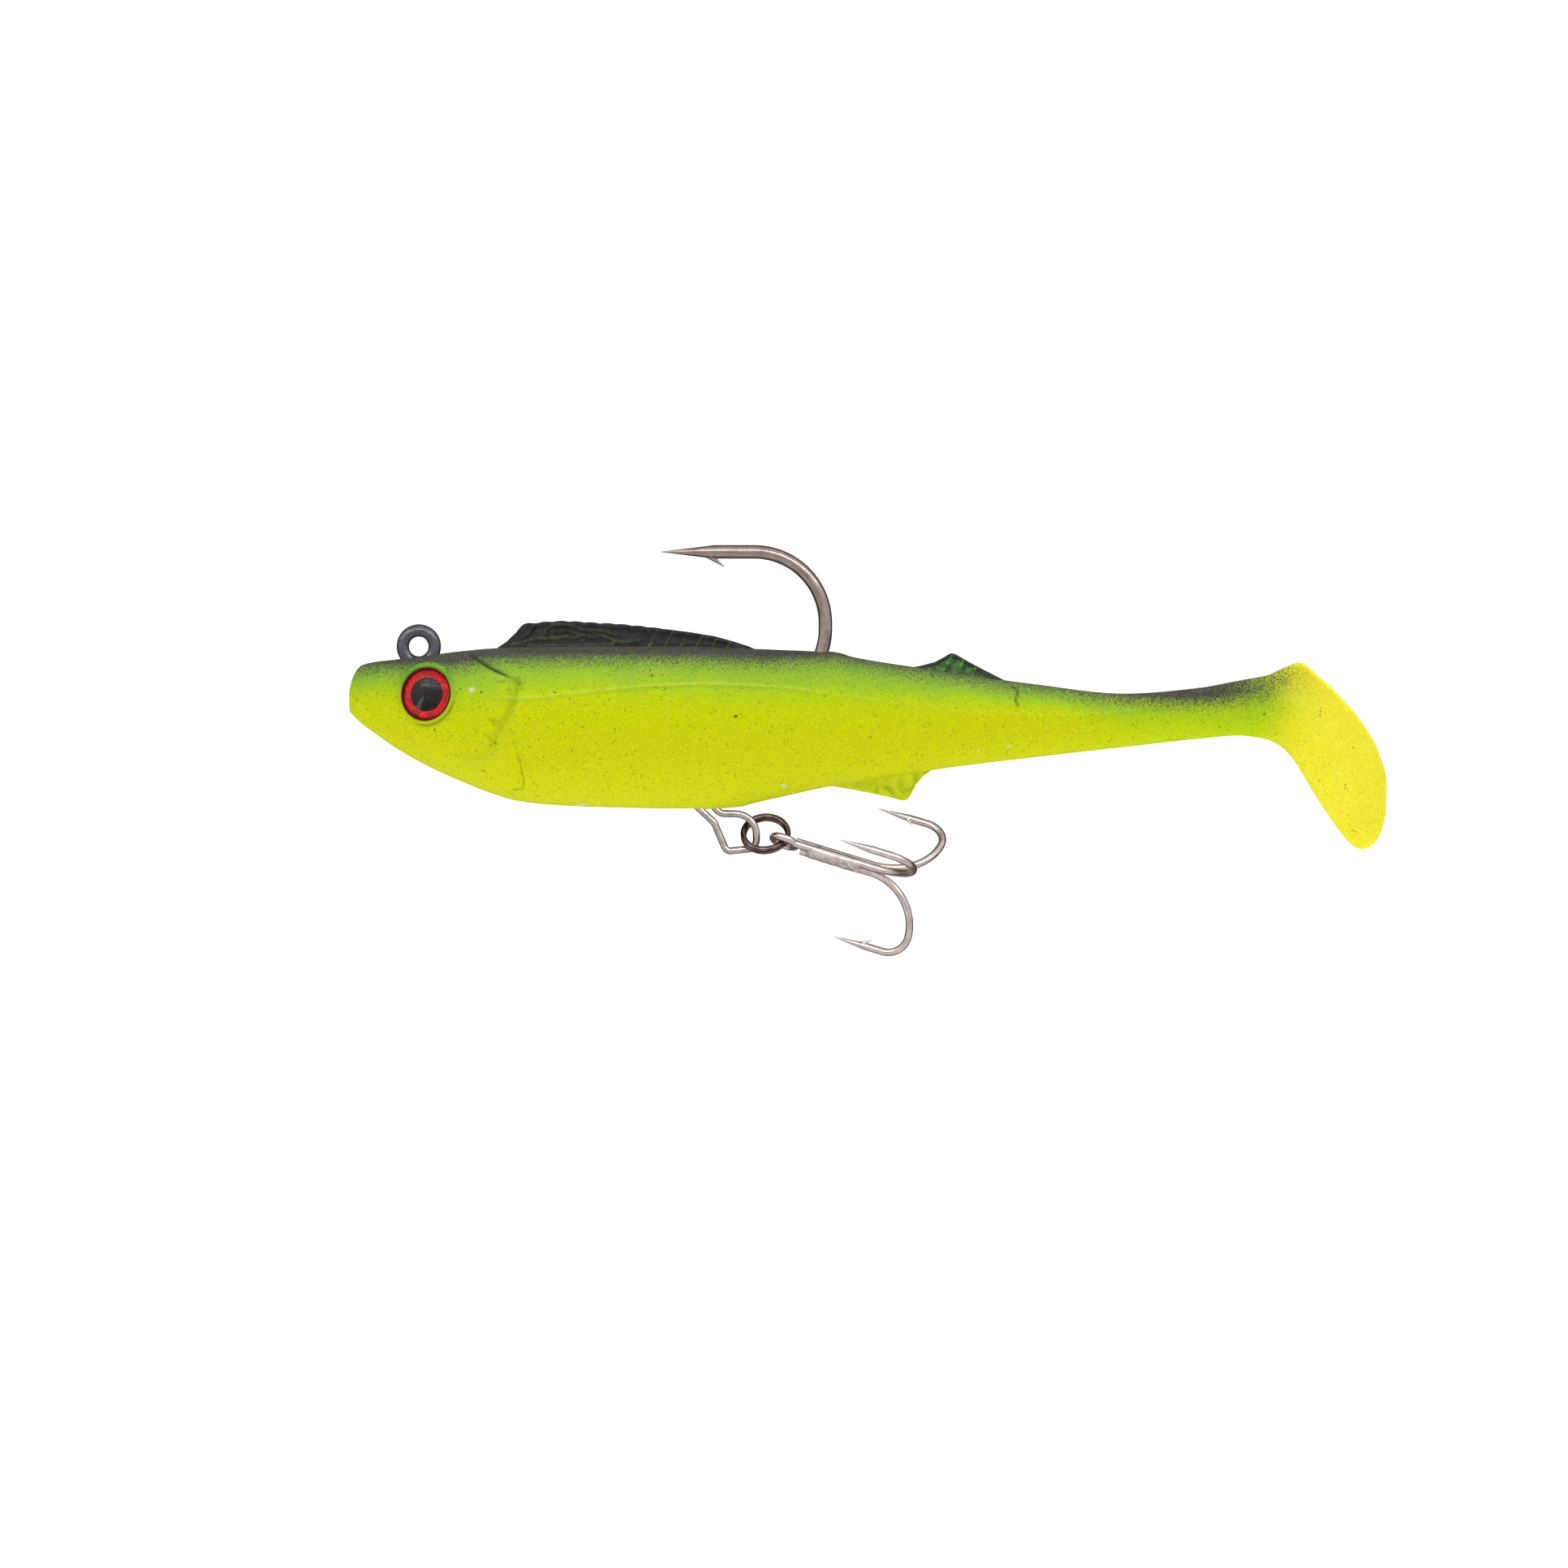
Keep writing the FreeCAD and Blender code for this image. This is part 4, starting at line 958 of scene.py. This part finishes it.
def polar_fields(piece, side):
    """Stores distance from the eye's middle and the turn round it, 0 to 1, for the material."""
    out, forward, up = eye_axes(side)
    points = np.array([vertex.co for vertex in piece.data.vertices]) / MM - eye_centre(side)
    radius = np.hypot(points @ forward, points @ up)
    turn = np.arctan2(points @ up, -side * (points @ forward)) / (2 * math.pi) + 0.5
    store(piece, "around", np.stack((radius, turn, 0 * radius), 1))


def foil_rings():
    """A shallow pleated dish inside a raised rim."""
    def pleats(angle):
        return 0.02 * np.cos(angle * 24)

    rim = EYE_RADIUS
    rings = [
        (0, 0.02, 0), (rim - 0.1, 0.02, 0), (rim, 0.1, 0), (rim + 0.02, FOIL_THICK + 0.12, 0),
        (rim - 0.03, FOIL_THICK + 0.27, 0), (rim - 0.12, FOIL_THICK + 0.3, 0),
        (rim - 0.2, FOIL_THICK + 0.22, 0), (rim - 0.27, FOIL_THICK, 0),
    ]
    rings += [(radius, FOIL_THICK - 0.06, pleats) for radius in (2.9, 2.6, 2.3)]
    return rings + [(PUPIL_RADIUS - 0.1, FOIL_THICK - 0.08, 0), (0, FOIL_THICK - 0.08, 0)]


def pupil_rings():
    """A low crown with four soft facets."""
    def facets(share):
        return lambda angle: 0.12 * (1 - share) * np.abs(np.cos(2 * angle + 0.6))

    low = FOIL_THICK - 0.06
    rings = [(0, low, 0), (PUPIL_RADIUS, low, 0), (PUPIL_RADIUS, FOIL_THICK + 0.08, 0)]
    for share in (0.95, 0.75, 0.5):
        rings.append((PUPIL_RADIUS * share, FOIL_THICK + 0.1 + 0.3 * (1 - share * share), facets(share)))
    return rings + [(PUPIL_RADIUS * 0.2, FOIL_THICK + 0.36, 0), (0, FOIL_THICK + 0.38, 0)]


def lens_rings():
    """A dome that is hollow over the pupil."""
    edge = EYE_RADIUS - 0.18
    rise = DOME_HEIGHT - 0.2
    dome_radius = (edge ** 2 + rise ** 2) / (2 * rise)
    top = FOIL_THICK + DOME_HEIGHT
    floor = FOIL_THICK + 0.04
    rings = [
        (0, floor + 0.45, 0), (PUPIL_RADIUS * 0.6, floor + 0.4, 0),
        (PUPIL_RADIUS + 0.06, floor + 0.1, 0), (edge - 0.06, floor, 0),
    ]
    for share in np.linspace(1, 0.08, 14):
        radius = edge * share
        height = top - dome_radius + math.sqrt(dome_radius ** 2 - radius ** 2)
        rings.append((radius, height, 0))
    return rings + [(0, top, 0)]


def eye(label, side, foil_paint, pupil_paint, resin):
    """Foil iris, faceted pupil and domed lens of one eye."""
    parts = [
        (f"iris_foil_{label}", foil_rings(), foil_paint, "foil", "red_foil"),
        (f"pupil_{label}", pupil_rings(), pupil_paint, "pupil", "pupil_black"),
        (f"eye_dome_{label}", lens_rings(), resin, "lens", "clear_lens"),
    ]
    for name, rings, material, node, slot in parts:
        piece = round_piece(name, side, rings, material)
        polar_fields(piece, side)
        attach(piece, "front_body")
        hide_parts(f"eye_{node}_{label}")


# -------------------- metals

def plated_wire(name, bright, dark, rough, wear=0.4):
    """Plated wire with drawn streaks, cloudy plating and fine handling marks."""
    g = Graph(name)
    place = g.object_mm()
    cloud = g.noise(place, 0.9, 4.0, 0.6)
    streak = g.noise(g.vector_math("MULTIPLY", place, (1.0, 3.0, 1.0)), 3.0, 4.0, 0.7)
    pits = g.map(g.noise(place, 4.2, 2.0), 0.66, 0.74)
    colour = g.mix(g.map(cloud, 0.35, 0.65), bright, dark)
    colour = g.mix(g.times(pits, wear), colour, rgb(60, 44, 36))
    return g.finish(
        Base_Color=colour,
        Metallic=1.0,
        Roughness=g.map(streak, 0.3, 0.7, rough * 0.75, rough * 1.35),
        Normal=g.bumps(streak, 0.012),
    )


def hook_metal():
    """Black nickel wire; the line tie on the head has the fish's overspray on it."""
    g = Graph("black_nickel_wire")
    place = g.object_mm()
    cloud = g.noise(place, 0.8, 4.0, 0.6)
    streak = g.noise(g.vector_math("MULTIPLY", place, (1.0, 3.0, 1.0)), 3.0, 4.0, 0.7)
    metal = g.colours(cloud, [(0.3, rgb(146, 132, 126)), (0.7, rgb(176, 161, 154))])
    pits = g.map(g.noise(place, 3.6, 3.0), 0.64, 0.74)
    metal = g.mix(g.times(pits, 0.5), metal, rgb(58, 44, 38))
    head = g.math("LESS_THAN", g.add("SeparateXYZ", {0: place}).outputs["X"], 12.0)
    paint = g.colours(g.noise(place, 2.0, 3.0), [(0.35, rgb(84, 85, 92)), (0.65, rgb(102, 103, 110))])
    return g.finish(
        Base_Color=g.mix(head, metal, paint),
        Metallic=g.map(head, 0, 1, 1.0, 0.8),
        Roughness=g.math("ADD", g.map(streak, 0.3, 0.7, 0.14, 0.26), g.times(head, 0.08)),
        Normal=g.bumps(streak, 0.012),
    )


def rough_metal(name, light, dark, lump):
    """Braze or cast lead: lumpy, dull and stained."""
    g = Graph(name)
    place = g.object_mm()
    lumps = g.noise(place, 1.6, 4.0, 0.6)
    return g.finish(
        Base_Color=g.colours(lumps, [(0.35, dark), (0.62, light)]),
        Metallic=0.9,
        Roughness=g.map(lumps, 0.3, 0.7, 0.55, 0.3),
        Normal=g.bumps(lumps, lump),
    )


def dress_cad_nodes():
    """Better materials for the wires and the ballast, whose CAD shapes stay."""
    nickel = plated_wire("black_nickel_ring", rgb(124, 106, 97), rgb(72, 59, 53), 0.1)
    steel = plated_wire("stainless_wire", rgb(202, 194, 188), rgb(172, 162, 155), 0.24)
    tin = plated_wire("tinned_steel", rgb(226, 213, 208), rgb(206, 191, 185), 0.2, 0.2)
    finishes = {
        "jig_hook": hook_metal(), "split_ring": nickel, "belly_hanger": steel,
        "treble_double_hook": tin, "treble_single_hook": tin,
        "ballast_weight": rough_metal("cast_lead", rgb(96, 98, 104), rgb(58, 60, 66), 0.12),
    }
    for node, material in finishes.items():
        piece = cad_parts[node]
        for slot in piece.material_slots:
            slot.material = material
        if not piece.material_slots:
            piece.data.materials.append(material)


TREBLE_ORIGIN = np.array((43.8, -0.9, -23.65))
TREBLE_TURN = Euler((math.radians(13.1), math.radians(16.5), math.radians(-13.6)))
BRAZE_SPAN = (4.4, 11.8)


def treble_braze():
    """Braze run in between the treble's three shanks, ragged at both ends. The shanks stand at 60, 180 and
    300 degrees round the common axis, and stay bare along their top."""
    share = np.linspace(0, 1, 56)[:, None]
    turn = np.linspace(-math.pi, math.pi, 60, endpoint=False)[None, :]
    front = BRAZE_SPAN[0] + 0.45 * np.sin(turn + 0.8)
    rear = BRAZE_SPAN[1] + 0.5 * np.sin(2 * turn + 0.5)
    x = front + (rear - front) * share
    lower = ramp(np.abs(turn), 0.5, 1.5)
    crest = 1.02 + 0.09 * lower
    valley = 0.6 + 0.34 * lower
    radius = valley + (crest - valley) * (0.5 - 0.5 * np.cos(3 * turn))
    radius = radius - 0.2 * (1 - ramp(np.minimum(share, 1 - share), 0, 0.1))
    radius += 0.025 * np.sin(3.1 * x + 2 * turn) * np.sin(1.7 * x - 3 * turn)
    radius += 0.07 * bump(x - 9.6, 0.35) * np.cos(4 * turn + 1.0) * lower
    local = np.stack((x, -radius * np.sin(turn), radius * np.cos(turn)), 2)
    points = local @ np.array(TREBLE_TURN.to_matrix()).T + TREBLE_ORIGIN
    paint = rough_metal("braze", rgb(232, 221, 217), rgb(200, 187, 181), 0.04)
    piece = closed_tube("braze", points, paint)
    sharpen_ends(piece, *radius.shape)
    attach(piece, "treble_body")
    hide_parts("treble_braze")


# -------------------- studio

VIEW_CENTRE = Vector((45.0, 0.0, -16.95)) * MM
VIEW_WIDTH = 193.2 * MM
CAMERA_DISTANCE = 1.5
SENSOR = 36.0


def make_camera():
    data = bpy.data.cameras.new("camera")
    data.sensor_width = SENSOR
    data.lens = SENSOR * CAMERA_DISTANCE / VIEW_WIDTH
    data.clip_start = 0.05
    camera = bpy.data.objects.new("camera", data)
    camera.location = VIEW_CENTRE + Vector((0, -CAMERA_DISTANCE, 0))
    camera.rotation_euler = (math.pi / 2, 0, 0)
    bpy.context.scene.collection.objects.link(camera)
    bpy.context.scene.camera = camera


def soft_light(name, place, aim, size, power):
    """A soft box at place, turned towards aim. Polished metal sees the studio air instead of it."""
    data = bpy.data.lights.new(name, "AREA")
    data.shape = "RECTANGLE"
    data.size, data.size_y = size
    data.energy = power
    light = bpy.data.objects.new(name, data)
    light.location = Vector(place)
    light.rotation_euler = (Vector(aim) - light.location).to_track_quat("-Z", "Y").to_euler()
    light.visible_glossy = False
    bpy.context.scene.collection.objects.link(light)


def paper():
    """White paper, clear from behind so that it never hides the lure.
    In the reflections of polished wire it is light in front of the lure and dim behind it."""
    g = Graph("studio_paper")
    place = g.object_mm()
    shade = g.colours(g.noise(place, 0.01, 2.0), [(0.3, rgb(246, 246, 246)), (0.7, rgb(250, 250, 250))])
    depth = g.add("SeparateXYZ", {0: place}).outputs["Y"]
    reflected = g.mix(g.map(depth, -30, 80), rgb(206, 203, 200), rgb(84, 76, 72))
    glossy = g.add("LightPath").outputs["Is Glossy Ray"]
    g.finish(
        Base_Color=g.mix(glossy, shade, reflected),
        Roughness=0.9,
        Specular_IOR_Level=0.1,
    )
    back = g.add("NewGeometry").outputs["Backfacing"]
    return g.either(back, g.shader, g.add("BsdfTransparent"))


def make_sweep():
    """A floor that curves up into a wall behind the lure."""
    floor, wall, top, radius, half = -160, 750, 1600, 350, 2500
    profile = [(-half, floor)]
    for k in range(13):
        angle = k / 12 * math.pi / 2
        profile.append((wall - radius + radius * math.sin(angle), floor + radius * (1 - math.cos(angle))))
    profile.append((wall, top))
    points, faces = [], []
    for y, z in profile:
        points += [(-half, y, z), (half, y, z)]
    for k in range(len(profile) - 1):
        faces.append((2 * k, 2 * k + 1, 2 * k + 3, 2 * k + 2))
    new_piece("studio_sweep", points, faces, paper())


AIR_LIGHT = 0.34


def make_world():
    """Even air light; polished metal sees it bright towards the viewer, with a soft strip, and dim behind."""
    g = Graph("studio_air", world=True)
    ray = g.add("LightPath").outputs
    split = g.add("SeparateXYZ", {0: g.add("TexCoord").outputs["Generated"]}).outputs
    depth, up = split["Y"], split["Z"]
    front = g.map(depth, -0.15, 0.55, 0.92, 0.07, "SMOOTHSTEP")
    low = g.map(up, 0.4, 0.5, 0.0, 5.0, "SMOOTHSTEP")
    high = g.map(up, 0.54, 0.64, 1.0, 0.0, "SMOOTHSTEP")
    near = g.map(depth, -0.6, -0.3, 1.0, 0.0, "SMOOTHSTEP")
    strip = g.times(g.times(low, high), near)
    mirrored = g.math("ADD", front, strip)
    air = g.add("Mix", {"Factor": ray["Is Glossy Ray"], "A": AIR_LIGHT, "B": mirrored})
    shown = g.add("Mix", {"Factor": ray["Is Camera Ray"], "A": air.outputs["Result"], "B": 1.0})
    g.set(g.shader.inputs["Strength"], shown.outputs["Result"])
    g.set(g.shader.inputs["Color"], (1, 1, 1, 1))
    bpy.context.scene.world = g.material


def make_studio():
    make_sweep()
    make_world()
    lure = tuple(VIEW_CENTRE)
    soft_light("top_box", (0.05, -0.15, 0.8), lure, (1.1, 0.8), 2.8)
    soft_light("front_left", (-0.75, -1.1, 0.3), lure, (0.8, 0.9), 3.7)
    soft_light("front_right", (0.85, -1.1, 0.3), lure, (0.8, 0.9), 3.7)
    soft_light("wall_wash", (0.05, 0.1, 1.1), (0.05, 0.75, 0.05), (1.8, 0.4), 12.0)
    bpy.context.scene.view_settings.view_transform = "Standard"
    bpy.context.scene.view_settings.look = "None"


# -------------------- everything

def build_skin():
    along, points, fields = fish_fields()
    pvc = soft_pvc(points)
    spans = [
        ("skin_front", along[0], FIRST_CUT, "front_body", "rear_body", 72.5, 82.5,
         ("soft_body_front", "soft_body_rear")),
        ("skin_stem", FIRST_CUT, SECOND_CUT, "rear_body", "stem_body", 84.0, 94.0,
         ("soft_body_rear", "tail_stem")),
        ("skin_paddle", SECOND_CUT, along[-1], "stem_body", "paddle_body", 95.5, 105.5,
         ("tail_stem", "tail_paddle")),
    ]
    for name, start, stop, ahead, behind, bend_start, bend_end, nodes in spans:
        piece = skin_piece(name, along, points, fields, start, stop, pvc)
        piece.visible_glossy = False
        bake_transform(piece)
        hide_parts(*nodes)


def build_fins():
    dorsal_fin(fin_paint("dorsal_paint", rgb(30, 29, 31), rgb(44, 43, 46), rgb(100, 116, 30)))
    second_dorsal_fin(fin_paint("second_dorsal_paint", rgb(36, 38, 32), rgb(46, 52, 40), rgb(100, 178, 74)))
    anal_fin(fin_paint("anal_paint", rgb(196, 208, 8), rgb(206, 214, 14), rgb(150, 170, 8)))


def build_eyes():
    foil = foil_material()
    pupil = pupil_material()
    resin = lens_material()
    eye("left", -1, foil, pupil, resin)
    eye("right", 1, foil, pupil, resin)


make_camera()
make_studio()
build_skin()
build_fins()
build_eyes()
treble_braze()
dress_cad_nodes()
